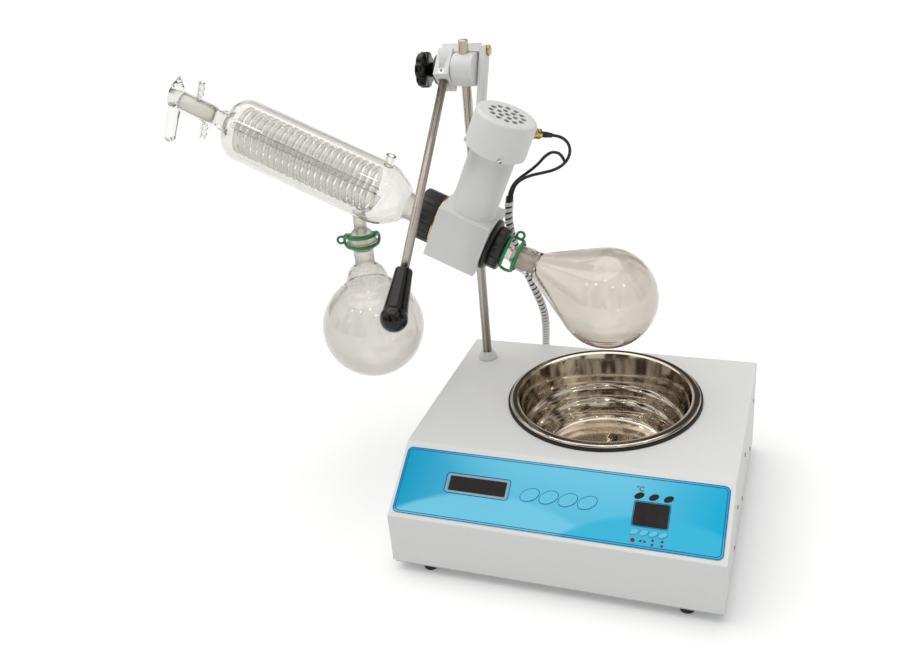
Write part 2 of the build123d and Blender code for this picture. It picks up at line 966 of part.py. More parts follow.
def yoke_block():
    """The square block that turns on the trunnion and carries the lever."""
    half = block_side / 2
    block = span(0, block_width, -half, half, -half, half)
    block = fillet(block.edges(), block_round)
    block -= rod_x(trunnion_radius + running_fit, -overrun, block_width + overrun)
    socket = rod(lever_radius + running_fit, -half - overrun, -lever_inner)
    block -= Pos(block_width / 2, -lever_offset, 0) * socket
    screw = rod_y(lever_screw_radius + running_fit, -half - overrun, -lever_offset)
    block -= Pos(block_width / 2, 0, lever_screw_rise - half) * screw
    return on_block(block) + yoke_bar()


def lever_rod():
    bar = rod(lever_radius, -lever_inner - seat_gap, -block_side / 2 - lever_length)
    return on_block(Pos(block_width / 2, -lever_offset, 0) * bar)


def lever_grip():
    """A tapered grip that swells to a ball at its end."""
    start = -block_side / 2 - lever_length + grip_cover
    ball = start - grip_length + grip_ball_radius
    grip = spun_z((
        (0, start),
        (grip_top_radius, start),
        (grip_ball_radius, ball),
        (0, ball),
    ))
    grip = fillet(grip.edges().group_by(Axis.Z)[-1], grip_round)
    grip += Pos(0, 0, ball) * Sphere(grip_ball_radius)
    grip -= rod(lever_radius + running_fit, start + overrun, start - grip_cover - seat_gap)
    return on_block(Pos(block_width / 2, -lever_offset, 0) * grip)


def lever_set_screw():
    """The socket screw in the block's front that clamps the lever."""
    half = block_side / 2
    screw = rod_y(lever_screw_radius, -half + seat_gap, -lever_offset - lever_radius - seat_gap)
    key = Plane.XZ * RegularPolygon(lever_screw_radius / 2, 6)
    screw -= Pos(0, -half, 0) * extrude(key, socket_key_depth, dir=(0, 1, 0))
    return on_block(Pos(block_width / 2, 0, lever_screw_rise - half) * screw)


def arm_left():
    return boss_right + cover_thickness


def bar_rise():
    """How far the bar's middle lies above the pivot, along the block's height."""
    return (block_side + bar_height) / 2


def yoke_bar():
    """The bar behind the block, relieved where it passes the clamp's boss."""
    half = bar_width / 2
    low = bar_rise() - bar_height / 2
    bar = span(0, arm_left(), -bar_shift - half, half - bar_shift, low, low + bar_height)
    bar = fillet(bar.edges().filter_by(Axis.X), block_round)
    bar -= rod_x(boss_radius + seat_gap, block_width, arm_left() + overrun)
    bar -= Pos(0, -bar_shift, bar_rise()) * rod_x(
        bolt_radius + running_fit, arm_left() + arm_thickness - bolt_length - seat_gap, arm_left() + overrun
    )
    return on_block(bar)


def bolt_point():
    """The arm bolt's place across X, in the base's own coordinates."""
    y = pivot_y + bar_rise() * sin(lean) - bar_shift * cos(lean)
    z = pivot_height + bar_rise() * cos(lean) + bar_shift * sin(lean)
    return y, z


def arm_plane_y():
    """The front edge of the arm's lower leg, on the back of its foot plate."""
    return base_front + head_y + housing_depth / 2 + arm_foot_thickness


def arm():
    """A flat bar that leans forward from the yoke, turns straight down and ends in a foot plate."""
    top_y, top_z = bolt_point()
    leg_y = arm_plane_y() + arm_width / 2
    knee_z = top_z - (top_y - leg_y) / tan(radians(arm_lean))
    low_z = head_z - arm_foot_drop
    length = hypot(top_y - leg_y, top_z - knee_z)
    x0 = base_left + arm_left()
    half = arm_width / 2
    upper = span(x0, x0 + arm_thickness, -half, half, -length, half + arm_top_rise - half)
    upper = fillet(upper.edges().filter_by(Axis.X).group_by(Axis.Z)[-1], arm_top_round)
    upper = Pos(0, top_y, top_z) * Rot(-arm_lean, 0, 0) * upper
    leg = span(x0, x0 + arm_thickness, leg_y - half, leg_y + half, low_z, knee_z)
    knee = Pos(x0, leg_y, knee_z) * rod_x(half, 0, arm_thickness)
    plate = span(
        -arm_foot_half, arm_foot_half,
        housing_depth / 2, housing_depth / 2 + arm_foot_thickness,
        -arm_foot_half, arm_foot_half,
    )
    plate = fillet(plate.edges().filter_by(Axis.Y), arm_top_round)
    for x, z in arm_screw_places():
        plate -= Pos(x, 0, z) * rod_y(cover_screw_radius + running_fit, 0, housing_depth)
    body = upper + leg + knee + on_head(plate)
    body -= Pos(x0, top_y, top_z) * rod_x(bolt_radius + running_fit, -overrun, arm_thickness + overrun)
    return body


def arm_screw_places():
    reach = arm_foot_half - cover_screw_inset
    return [(x, z) for x in (-reach, reach) for z in (-reach, reach)]


def cover_screw(x, z, head_face):
    shank = rod_y(cover_screw_radius, head_face - cover_screw_length, head_face)
    head = rod_y(cover_screw_head_radius, head_face, head_face + cover_screw_head_height)
    return on_head(Pos(x, 0, z) * (shank + head))


def arm_screws():
    face = housing_depth / 2 + arm_foot_thickness
    return [cover_screw(x, z, face) for x, z in arm_screw_places()]


def cover_screw_places():
    reach = housing_side / 2 - cover_screw_inset / 2
    return [(x, z) for x in (-reach, reach) for z in (-reach, reach)]


def cover_screws():
    return [cover_screw(x, z, housing_depth / 2) for x, z in cover_screw_places()]


def arm_bolt():
    y, z = bolt_point()
    face = arm_left() + arm_thickness
    head = rod_x(bolt_head_radius, face, face + bolt_head_height)
    head = chamfer(head.edges().group_by(Axis.X)[-1], boss_round / 2)
    shank = rod_x(bolt_radius, face - bolt_length, face)
    return Pos(base_left, y, z) * (head + shank)


def knob_washer():
    body = tube_x(washer_radius, stud_radius + running_fit, -washer_thickness, 0)
    return Pos(base_left, pivot_y, pivot_height) * body


def swing_knob():
    """A scalloped hand knob, its neck and its threaded stud."""
    neck_end = -washer_thickness - knob_neck_length
    disc_end = neck_end - knob_thickness
    disc = rod_x(knob_radius, disc_end, neck_end)
    reach = knob_radius + knob_scallop_radius - knob_scallop_depth
    scallop = Pos(0, 0, reach) * rod_x(knob_scallop_radius, disc_end - overrun, neck_end + overrun)
    for cut in around(knob_lobes, scallop, axis=(1, 0, 0)):
        disc -= cut
    disc = fillet(disc.edges().group_by(Axis.X)[0], knob_round)
    body = disc + rod_x(knob_neck_radius, neck_end, -washer_thickness - seat_gap)
    body += rod_x(stud_radius, neck_end, stud_reach)
    return Pos(base_left, pivot_y, pivot_height) * body


def housing_half():
    return housing_side / 2


def gear_housing():
    """The cast gear housing: a box open at the back, bored for the rotor and the motor."""
    half = housing_half()
    front = -housing_depth / 2
    back = housing_depth / 2 - cover_thickness
    body = span(-half, half, front, back, -half, half)
    body = fillet(body.edges().filter_by(Axis.Y) + body.edges().group_by(Axis.Y)[0], housing_round)
    body += rod_x(spigot_radius, -half, -half - spigot_length)
    inner = half - housing_wall
    body -= span(-inner, inner, front + housing_wall, back + overrun, -inner, inner)
    for way in (-1, 1):
        body += rod_x(bearing_boss_radius, way * (inner + bearing_setback), way * (inner - bearing_boss_reach))
    body -= rod_x(bearing_outer_radius + running_fit, -half - spigot_length - overrun, half + overrun)
    body -= rod(motor_flange_radius - housing_wall, 0, half + overrun)
    for x, z in cover_screw_places() + arm_screw_places():
        hole = rod_y(cover_screw_radius + running_fit, back - cover_screw_length, back + overrun)
        body -= Pos(x, 0, z) * hole
    return on_head(body)


def housing_cover():
    half = housing_half()
    back = housing_depth / 2
    plate = span(-half, half, back - cover_thickness, back, -half, half)
    plate = fillet(plate.edges().filter_by(Axis.Y), housing_round)
    for x, z in cover_screw_places() + arm_screw_places():
        plate -= Pos(x, 0, z) * rod_y(cover_screw_radius + running_fit, 0, housing_depth)
    return on_head(plate)


def bearing(way):
    outer = housing_half() - bearing_setback
    inner = outer - bearing_width
    race = tube_x(bearing_outer_radius, shaft_radius + running_fit, way * inner, way * outer)
    middle = (bearing_outer_radius + shaft_radius) / 2
    shield = tube_x(middle + bearing_groove, middle - bearing_groove, way * (outer - bearing_groove), way * outer)
    return race - shield


def shaft_bearings():
    return Compound([on_head(bearing(-1)), on_head(bearing(1))])


def bevel_gear(teeth, cone, hub_radius, hub_end, bore, start):
    """A straight bevel gear about Z whose teeth all point to the origin."""
    inner = cone_length * (1 - face_share)
    blank = []
    for length, scale in ((inner, 1 - face_share), (cone_length, 1.0)):
        root = tooth_root * scale
        blank.append((length * sin(cone) - root * cos(cone), length * cos(cone) + root * sin(cone)))
    outer_r, outer_z = blank[1]
    inner_r, inner_z = blank[0]
    body = spun_z((
        (bore, inner_z),
        (inner_r, inner_z),
        (outer_r, outer_z),
        (min(outer_r, hub_radius), hub_end),
        (bore, hub_end),
    ))
    pitch_width = 2 * pi * cone_length * sin(cone) / teeth
    root_half = pitch_width * (0.5 - tooth_width_share) * 0.9
    tip_half = pitch_width * tooth_width_share * 0.6
    tooth = bevel_tooth(cone, inner, root_half, tip_half)
    for copy in around(teeth, tooth, start):
        body += copy
    return body


def bevel_tooth(cone, inner, root_half, tip_half):
    """One tapering tooth: a section at the big end lofted to its smaller copy."""
    sections = []
    for length in (cone_length, inner):
        scale = length / cone_length
        place = Plane(
            origin=(length * sin(cone), 0, length * cos(cone)),
            x_dir=(0, 1, 0),
            z_dir=(sin(cone), 0, cos(cone)),
        )
        low = (tooth_root + tooth_height / 3) * scale
        high = -tooth_height * scale
        section = Polyline(
            (-root_half * scale, low), (root_half * scale, low),
            (tip_half * scale, high), (-tip_half * scale, high), close=True,
        )
        sections.append(place * make_face(section))
    return loft(sections, ruled=True)


def ring_gear():
    """The rotor's bevel gear, turned to lie about the rotor's line."""
    gear = bevel_gear(gear_teeth, gear_cone, gear_hub_radius, gear_hub_end, shaft_radius + running_fit, 0)
    return on_head(Rot(0, 90, 0) * gear)


def motor_pinion():
    half_pitch = 180.0 / pinion_teeth
    bore = motor_shaft_radius / 2
    return on_head(bevel_gear(pinion_teeth, pinion_cone, housing_side, pinion_hub_end, bore, half_pitch))


def drive_shaft():
    """The hollow rotor shaft with the flange that closes the housing's right side."""
    start = housing_half() + flange_gap
    body = rod_x(flange_radius, start, flange_end)
    body = chamfer(body.edges().group_by(Axis.X)[-1], drive_nut_chamfer)
    body += rod_x(shaft_radius, -shaft_left, shaft_right)
    body -= rod_x(shaft_bore, -shaft_left - overrun, shaft_right + overrun)
    return on_head(body)


def drive_nut():
    """The fluted nut that clamps the vapour tube in the hollow shaft."""
    body = rod_x(drive_nut_radius, flange_end + seat_gap, drive_nut_end)
    body = chamfer(body.edges().filter_by(GeomType.CIRCLE), drive_nut_chamfer)
    body -= rod_x(shaft_radius + running_fit, flange_end - overrun, shaft_right + seat_gap)
    body -= rod_x(vapour_bead_radius + running_fit, shaft_right, vapour_bead_end + seat_gap)
    body -= rod_x(vapour_radius + running_fit, 0, drive_nut_end + overrun)
    flute = Pos(0, 0, drive_nut_radius + drive_nut_groove / 3) * rod_x(drive_nut_groove, flange_end, drive_nut_end)
    for cut in around(drive_nut_lobes, flute, axis=(1, 0, 0)):
        body -= cut
    return on_head(body)


def motor_tube():
    """The painted tube over the motor, with a bead at its foot and a flange at its head."""
    half = housing_half()
    inner = tube_radius - tube_wall
    flange = cap_radius - cap_wall - running_fit
    body = spun_z((
        (inner, half),
        (bead_radius, half),
        (bead_radius, half + bead_height / 2),
        (tube_radius, half + bead_height),
        (tube_radius, tube_top),
        (flange, tube_top),
        (flange, tube_top + tube_flange_thickness),
        (inner, tube_top + tube_flange_thickness),
    ))
    for hole in cap_screw_lines(cap_screw_radius + running_fit, 0):
        body -= hole
    return on_head(body)


def cap_screw_lines(radius, proud):
    """Round bars along the cap's screws, to a little outside the cap."""
    bars = []
    height = tube_top + tube_flange_thickness / 2
    start = cap_radius - cap_screw_length
    line = Pos(0, 0, height) * rod_x(radius, start, cap_radius + proud)
    for bar in around(4, line, start=cap_screw_turn):
        bars.append(bar)
    return bars


def gland_line(radius, start, end):
    line = rod_x(radius, start, end)
    return Pos(0, 0, cable_gland_height) * Rot(0, 0, cable_gland_turn) * line


def motor_cap():
    """The motor's round cap, pierced with rings of vent holes."""
    outer = rod(cap_radius, cap_bottom, cap_top)
    outer = fillet(outer.edges().group_by(Axis.Z)[-1], cap_round)
    inner = rod(cap_radius - cap_wall, cap_bottom - overrun, cap_top - cap_wall)
    inner = fillet(inner.edges().group_by(Axis.Z)[-1], cap_round - cap_wall)
    body = outer - inner
    vent = rod(vent_radius, cap_top - 2 * overrun, cap_top + overrun)
    body -= vent
    for cut in around(vent_inner_count, Pos(vent_inner_ring, 0, 0) * vent):
        body -= cut
    for cut in around(vent_outer_count, Pos(vent_outer_ring, 0, 0) * vent, start=15.0):
        body -= cut
    for hole in cap_screw_lines(cap_screw_radius + running_fit, overrun):
        body -= hole
    body -= gland_line(cable_gland_radius / 2 + running_fit, 0, cap_radius + overrun)
    return on_head(body)


def cap_screws():
    screws = []
    height = tube_top + tube_flange_thickness / 2
    start = cap_radius - cap_screw_length
    shank = rod_x(cap_screw_radius, start + seat_gap, cap_radius + cap_screw_head_height)
    head = rod_x(cap_screw_head_radius, cap_radius + seat_gap / 2, cap_radius + cap_screw_head_height)
    for screw in around(4, Pos(0, 0, height) * (shank + head), start=cap_screw_turn):
        screws.append(on_head(screw))
    return screws


def motor_body():
    """The gear motor's can, with its mounting flange on the housing."""
    body = rod(motor_radius, motor_bottom, motor_top)
    body += rod(motor_flange_radius, housing_half(), motor_bottom)
    body -= rod(motor_shaft_radius + running_fit, 0, motor_top + overrun)
    body -= rod(motor_flange_radius - 2 * housing_wall, 0, motor_bottom - housing_wall)
    return on_head(body)


def motor_shaft():
    """The motor's shaft with the small bevel gear on its end."""
    return on_head(rod(motor_shaft_radius, motor_shaft_bottom, motor_shaft_top)) + motor_pinion()


def cooling_fan():
    """The fan under the vents: a hub and pitched blades."""
    body = rod(fan_hub_radius, fan_bottom, fan_bottom + fan_height)
    length = fan_radius - fan_hub_radius + fan_blade_thickness
    blade = Box(length, fan_height / cos(radians(fan_blade_pitch)), fan_blade_thickness)
    blade = Rot(90 - fan_blade_pitch, 0, 0) * blade
    blade = Pos(fan_radius - length / 2, 0, fan_bottom + fan_height / 2) * blade
    room = rod(fan_radius, fan_bottom, fan_bottom + fan_height)
    for copy in around(fan_blades, blade):
        body += copy & room
    body -= rod(motor_shaft_radius + running_fit, fan_bottom - overrun, fan_bottom + fan_height + overrun)
    return on_head(body)


def cable_gland():
    """The brass gland in the cap's side: hexagon, nut and neck."""
    start = cap_radius + seat_gap
    middle = start + cable_gland_length - cable_gland_nut_length
    hexagon = Rot(0, 90, 0) * extrude(RegularPolygon(cable_gland_radius, 6), middle - start)
    line = Pos(start, 0, 0) * hexagon
    line += rod_x(cable_gland_radius * 0.94, middle, middle + cable_gland_nut_length)
    line += rod_x(cable_gland_radius / 2, cap_radius - cap_wall - cable_gland_inside, start)
    line = Pos(0, 0, cable_gland_height) * Rot(0, 0, cable_gland_turn) * line
    return on_head(line) + cable_sleeve()


def sleeve_start():
    return cap_radius + seat_gap + cable_gland_length


def cable_sleeve():
    start = sleeve_start()
    body = spun_x((
        (start, 0),
        (start, sleeve_radius),
        (start + sleeve_length / 2, sleeve_radius),
        (start + sleeve_length, sleeve_tip_radius),
        (start + sleeve_length, 0),
    ))
    body = Pos(0, 0, cable_gland_height) * Rot(0, 0, cable_gland_turn) * body
    return on_head(body)


def vapour_tube():
    """The glass tube that carries the vapour through the rotor, with its ground cone."""
    bore = vapour_radius - glass_wall
    body = spun_x((
        (-vapour_left, bore),
        (-vapour_left, vapour_radius),
        (vapour_bead_start, vapour_radius),
        (vapour_bead_start, vapour_bead_radius),
        (vapour_bead_end, vapour_bead_radius),
        (vapour_bead_end, vapour_radius),
        (cone_start - step_width, vapour_radius),
        (cone_start, cone_start_radius),
        (cone_end, cone_end_radius),
        (cone_end, bore),
    ))
    return on_head(body)


def flask_form(inset):
    """The drop-shaped flask as a solid, set in by a distance: neck, cone and ball."""
    ball = flask_radius - inset
    neck = flask_neck_radius - inset
    reach = hypot(flask_centre - flask_neck_end, neck)
    tangent = sqrt(reach ** 2 - ball ** 2)
    slope = atan2(ball, tangent) - atan2(neck, flask_centre - flask_neck_end)
    touch = (flask_neck_end + tangent * cos(slope), neck + tangent * sin(slope))
    start = flask_mouth - (overrun if inset else 0)
    side = Polyline((start, 0), (start, neck), (flask_neck_end, neck), touch)
    far = (flask_centre + ball, 0)
    top = (flask_centre + ball * sin(radians(45)), ball * cos(radians(45)))
    face = make_face([*side.edges(), *ThreePointArc(touch, top, far).edges(), *Line(far, (start, 0)).edges()])
    corner = face.vertices().sort_by_distance((flask_neck_end, neck))[0]
    face = fillet(corner, flask_neck_round + inset)
    return revolve(face, Axis.X)


def evaporating_flask():
    body = flask_form(0)
    rim_end = flask_mouth + flask_rim_width
    rim = rod_x(flask_rim_radius, flask_mouth, rim_end)
    body += fillet(rim.edges().filter_by(GeomType.CIRCLE), flask_rim_width / 3)
    body -= flask_form(glass_wall) & rod_x(flask_radius, cone_end, flask_centre + flask_radius)
    body -= spun_x((
        (flask_mouth - overrun, 0),
        (flask_mouth - overrun, cone_start_radius + running_fit),
        (cone_start, cone_start_radius + running_fit),
        (cone_end, cone_end_radius + running_fit),
        (cone_end + running_fit, 0),
    ))
    return on_head(body)


def clip_form(radius, low, high, lip_low, lip_high):
    """A spring clip about Z: a band with inward lips, open on one side and cut with windows."""
    outer = radius + clip_wall
    body = tube(outer, radius, low, high)
    body += tube(outer, lip_low, low, low + clip_wall)
    body += tube(outer, lip_high, high - clip_wall, high)
    middle = (low + high) / 2
    half = (high - low) / 2 - clip_window_rail
    width = 2 * radius * sin(radians(clip_window_turn / 2))
    for turn in (-125.0, 125.0):
        window = Box(outer, width, 2 * half)
        body -= Rot(0, 0, turn) * Pos(outer - clip_wall, 0, middle) * window
    reach = 2 * outer
    gap = reach * tan(radians(clip_open_turn / 2))
    wedge = make_face(Polyline((0, 0), (reach, -gap), (reach, gap), close=True))
    body -= Pos(0, 0, low - overrun) * extrude(wedge, high - low + 2 * overrun)
    for way in (-1, 1):
        turn = way * (clip_open_turn / 2 + 8)
        ring = Pos(outer + clip_loop_radius - clip_loop_wire / 2, 0, middle) * Rot(90, 0, 0) * Torus(
            clip_loop_radius, clip_loop_wire
        )
        body += Rot(0, 0, turn) * ring
    return body


def flask_clip():
    """The clip that hooks behind the drive nut's collar and in front of the flask's rim."""
    radius = flask_rim_radius + running_fit
    form = clip_form(radius, clip_start, clip_end, vapour_radius + seat_gap, flask_neck_radius + seat_gap)
    return on_head(Rot(0, 90, 0) * Rot(0, 0, 155.0) * form)


def vacuum_seal():
    """The sealing ring that the vapour tube turns in, held in the housing's spigot."""
    body = tube_x(bearing_outer_radius, vapour_radius + running_fit, -seal_end, -seal_start)
    groove = tube_x(
        vapour_radius + 2 * glass_wall, vapour_radius, -seal_end - overrun, -seal_end + glass_wall
    )
    return on_head(body - groove)


def nut_ring():
    start = -housing_half()
    return on_head(tube_x(nut_ring_radius, spigot_radius + running_fit, start - nut_ring_thickness, start))


def condenser_nut():
    """The black union nut that holds the condenser's flange on the spigot."""
    start = housing_half() + nut_ring_thickness
    body = rod_x(nut_radius, -nut_end, -start)
    body = chamfer(body.edges().filter_by(GeomType.CIRCLE), nut_chamfer)
    flange_back = condenser_flange_start + condenser_flange_thickness
    body -= rod_x(spigot_radius + running_fit, -flange_back - seat_gap, 0)
    body -= rod_x(condenser_neck_radius + seat_gap, -nut_end - overrun, 0)
    groove = Pos(0, 0, nut_radius + nut_groove / 3) * rod_x(nut_groove, -nut_end, -start)
    for cut in around(nut_groove_count, groove, axis=(1, 0, 0)):
        body -= cut
    return on_head(body)


def jacket_form(inset):
    """The condenser's glass as a solid of revolution, set in by a distance."""
    body = condenser_radius - inset
    neck = condenser_neck_radius - inset
    left = condenser_left - inset
    start = condenser_flange_start - (overrun if inset else 0)
    points = (
        (-start, 0),
        (-start, neck),
        (-condenser_neck_end - inset / 2, neck),
        (-condenser_shoulder_start - inset / 2, condenser_shoulder_radius - inset),
        (-condenser_shoulder_end, body),
        (-left, body),
        (-left, 0),
    )
    face = make_face(Polyline(*points, close=True))
    rounds = (
        (points[2], condenser_neck_round),
        (points[3], condenser_neck_round),
        (points[4], condenser_right_round),
        (points[5], condenser_left_round - inset),
    )
    for point, size in rounds:
        corner = face.vertices().sort_by_distance(point)[0]
        face = fillet(corner, size)
    return revolve(face, Axis.X)


def nipple_places():
    """Where each nipple stands along the barrel, and its turn: up, then down."""
    return (nipple_middle + nipple_stagger, 0), (nipple_middle - nipple_stagger, 180)


def nipple():
    """A barbed hose nipple along Z, from inside the stopcock's barrel."""
    body = rod(nipple_radius, key_plug_radius + glass_wall, barrel_radius + nipple_length)
    for index in range(nipple_barbs):
        top = barrel_radius + nipple_length - index * (nipple_barb_length + glass_wall)
        body += spun_z((
            (0, top - nipple_barb_length),
            (nipple_barb_radius, top - nipple_barb_length),
            (nipple_radius, top),
            (0, top),
        ))
    return body


def spout_form(radius):
    """The bent outlet under the condenser, straight down to the ball joint."""
    place = Pos(base_left + ball_x, base_front + head_y, ball_z)
    reach = (head_z + (head_x - ball_x) * tan(tilt)) - ball_z - condenser_radius
    return place * rod(radius, 0, reach)


def joint_ball():
    place = Pos(base_left + ball_x, base_front + head_y, ball_z)
    ball = Sphere(ball_radius)
    ball &= rod(ball_radius, -ball_cut, ball_radius)
    return place * ball


def condenser_jacket():
    """The condenser's one-piece glass: jacket, stopcock barrel, nipples, port, spout and ball."""
    body = jacket_form(0)
    flange = rod_x(condenser_flange_radius, -condenser_flange_start, -condenser_flange_start - condenser_flange_thickness)
    body += flange
    body += rod_x(condenser_stem_radius, -condenser_left + overrun, -barrel_start - overrun)
    barrel = rod_x(barrel_radius, -barrel_start, -barrel_end)
    body += fillet(barrel.edges().filter_by(GeomType.CIRCLE), glass_wall)
    for place, way in nipple_places():
        body += Pos(-place, 0, 0) * Rot(way, 0, 0) * nipple()
    port = Pos(-port_at, 0, 0) * rod(port_radius, condenser_radius - overrun, condenser_radius + port_length)
    body += port
    body -= jacket_form(glass_wall)
    body -= Pos(-port_at, 0, 0) * rod(port_bore, condenser_radius - overrun, condenser_radius + port_length + overrun)
    body -= rod_x(condenser_stem_radius - 2 * glass_wall, -condenser_left + overrun, -key_plug_start)
    body -= rod_x(key_plug_radius + running_fit, -key_plug_start, -barrel_end - overrun)
    for place, way in nipple_places():
        bore = rod(nipple_bore, key_plug_radius - glass_wall, barrel_radius + nipple_length + overrun)
        body -= Pos(-place, 0, 0) * Rot(way, 0, 0) * bore
    spout = spout_form(spout_radius) + joint_ball()
    spout -= on_head(jacket_form(glass_wall))
    bore_place = Pos(base_left + ball_x, base_front + head_y, ball_z)
    bore = bore_place * rod(spout_radius - glass_wall, -ball_radius, ball_radius + condenser_radius)
    return on_head(body) + spout - bore


def condenser_coil():
    """The cooling coil: a helix of tube and the straight return through its middle."""
    length = coil_left - coil_right
    path = Helix(coil_pitch, length, coil_radius)
    start = path @ 0
    section = Plane(origin=start, z_dir=path % 0) * Circle(coil_tube_radius)
    spiral = sweep(section, path=path)
    return on_head(Pos(-coil_left, 0, 0) * Rot(0, 90, 0) * spiral) + coil_return()


def coil_return():
    """The straight tube inside the coil that brings the water back, with a foot at each end."""
    body = rod_x(coil_tube_radius, -condenser_left + glass_wall + seat_gap, -coil_right)
    seal = condenser_stem_radius - 2 * glass_wall
    body += rod_x(seal, -condenser_left - glass_wall, glass_wall - condenser_left)
    foot_reach = coil_radius - coil_tube_radius - seat_gap
    for place in (coil_left - coil_tube_radius, coil_right + coil_tube_radius):
        body += Pos(-place, 0, 0) * rod(coil_tube_radius, 0, foot_reach)
    return on_head(body)


def stopcock_key():
    """The stopcock's key: plug with its slanting bore, hub, long leg and drawn-out tip."""
    plug = rod_x(key_plug_radius, -key_plug_start - seat_gap, -barrel_end - seat_gap)
    hub_middle = (barrel_end + key_hub_end) / 2
    hub = rod_x(key_hub_radius, -barrel_end - seat_gap, -key_hub_end)
    hub = fillet(hub.edges().filter_by(GeomType.CIRCLE), glass_wall * 2)
    leg = rod(key_leg_radius, 0, -key_leg_length)
    leg += Pos(0, 0, -key_leg_length) * Sphere(key_leg_radius)
    tip = spun_z(((0, 0), (key_leg_radius, 0), (key_tip_radius, key_tip_length), (0, key_tip_length)))
    slant = Vector(-nipple_stagger, 0, key_plug_radius)
    bore = Plane((-nipple_middle, 0, 0), z_dir=slant) * rod(nipple_bore, -slant.length, slant.length)
    return on_head(plug - bore + hub + Pos(-hub_middle, 0, 0) * (leg + tip))


def receiver_form(inset):
    """The receiving flask as a solid about Z below the ball's middle, set in by a distance."""
    neck = spun_z((
        (0, -receiver_neck_top),
        (receiver_neck_radius - inset, -receiver_neck_top),
        (receiver_neck_radius - inset, -receiver_neck_end),
        (receiver_flare_radius - inset, -receiver_flare_end),
        (0, -receiver_flare_end - overrun),
    ))
    return neck + Pos(0, 0, -receiver_drop) * Sphere(receiver_radius - inset)


def receiving_flask():
    body = receiver_form(0)
    cup = Sphere(ball_radius + cup_wall) & rod(cup_rim_radius, -receiver_neck_top - cup_wall, -cup_top)
    body += cup
    body += rod(cup_rim_radius, -cup_top - cup_rim_width, -cup_top)
    body -= receiver_form(glass_wall)
    body -= rod(receiver_neck_radius - glass_wall, -receiver_neck_end, 0)
    body -= Sphere(ball_radius + running_fit)
    return Pos(base_left + ball_x, base_front + head_y, ball_z) * body


def receiver_clip():
    form = clip_form(
        receiver_clip_radius, -receiver_clip_below, receiver_clip_above, receiver_lip_low, receiver_lip_high
    )
    return Pos(base_left + ball_x, base_front + head_y, ball_z) * Rot(0, 0, 180.0) * form


def route(points):
    """A cord's points, moved from the base's corner to the model's own frame."""
    return [(base_left + x, base_front + y, z) for x, y, z in points]


def cord(name, points, diameter):
    """A tube along straight runs joined by tangent arcs, each as large as its runs allow."""
    corners = [Vector(*point) for point in points]
    runs = [end - start for start, end in zip(corners, corners[1:])]
    radii = []
    for before, after in zip(runs, runs[1:]):
        turn = radians(before.get_angle(after))
        radii.append(0.45 * min(before.length, after.length) / tan(turn / 2))
    path = FilletPolyline(*corners, radius=radii)
    section = Plane(origin=path @ 0, z_dir=path % 0) * Circle(diameter / 2)
    solid = sweep(section, path=path)
    expected = pi * (diameter / 2) ** 2 * path.length
    print(name, "radii", [round(radius) for radius in radii], "length", round(path.length, 1))
    print(name, "volume share", round(solid.volume / expected, 4))
    return solid


def sleeve_end(lead):
    """A point on the sleeve's line, a given way out from its tip."""
    reach = sleeve_start() + sleeve_length + lead
    turn = radians(cable_gland_turn)
    place = Vector(reach * cos(turn), reach * sin(turn), cable_gland_height)
    return head_frame.from_local_coords(place)


def motor_cable():
    lead = [tuple(sleeve_end(seat_gap)), tuple(sleeve_end(cable_lead))]
    return cord("motor_cable", lead + route(cable_points), cable_diameter)


def cable_loop():
    return cord("cable_loop", route(loop_points), cable_diameter)


def harness():
    end_y = base_back + gland_nut_length + gland_dome_length + seat_gap
    end = (base_left + gland_x, end_y, shell_bottom + gland_z)
    return cord("harness", route(harness_points) + [end], harness_diameter)


def nodes():
    """Every sub-part by its node's name."""
    parts = {
        "base_shell": base_shell(),
        "bottom_plate": bottom_plate(),
        "side_covers": Compound([side_cover(*end) for end in side_ends()]),
        "side_screws": side_screws(),
        "control_panel": control_panel(),
        "panel_windows": panel_windows(),
        "circuit_boards": Compound([key_board(), drive_board()]),
        "bath_bowl": bath_bowl(),
        "bath_gasket": bath_gasket(),
        "heating_element": heating_element(),
        "power_inlet": power_inlet(),
        "power_rocker": power_rocker(),
        "base_gland": base_gland(),
        "column": column(),
        "column_collar": column_collar(),
        "clamp_boss": clamp_boss(),
        "height_screw": height_screw(),
        "yoke_block": yoke_block(),
        "lever_rod": lever_rod(),
        "lever_grip": lever_grip(),
        "lever_set_screw": lever_set_screw(),
        "arm": arm(),
        "arm_bolt": arm_bolt(),
        "knob_washer": knob_washer(),
        "swing_knob": swing_knob(),
        "gear_housing": gear_housing(),
        "housing_cover": housing_cover(),
        "head_screws": Compound(arm_screws() + cover_screws() + cap_screws()),
        "shaft_bearings": shaft_bearings(),
        "ring_gear": ring_gear(),
        "drive_shaft": drive_shaft(),
        "drive_nut": drive_nut(),
        "motor_tube": motor_tube(),
        "motor_cap": motor_cap(),
        "motor_body": motor_body(),
        "motor_shaft": motor_shaft(),
        "cooling_fan": cooling_fan(),
        "cable_gland": cable_gland(),
        "vapour_tube": vapour_tube(),
        "evaporating_flask": evaporating_flask(),
        "flask_clip": flask_clip(),
        "vacuum_seal": vacuum_seal(),
        "nut_ring": nut_ring(),
        "condenser_nut": condenser_nut(),
        "condenser_jacket": condenser_jacket(),
        "condenser_coil": condenser_coil(),
        "stopcock_key": stopcock_key(),
        "receiving_flask": receiving_flask(),
        "receiver_clip": receiver_clip(),
        "motor_cable": Compound([motor_cable(), cable_loop()]),
        "harness": harness(),
        "feet": Compound([foot(x, y) for x, y in foot_places()]),
    }
    for name, x, y, major, minor in key_places():
        parts[name] = panel_key(x, y, major, minor)
    return parts


def main():
    os.makedirs("parts", exist_ok=True)
    for name, shape in nodes().items():
        export_step(shape, f"parts/{name}.step")
    print("done")


main()
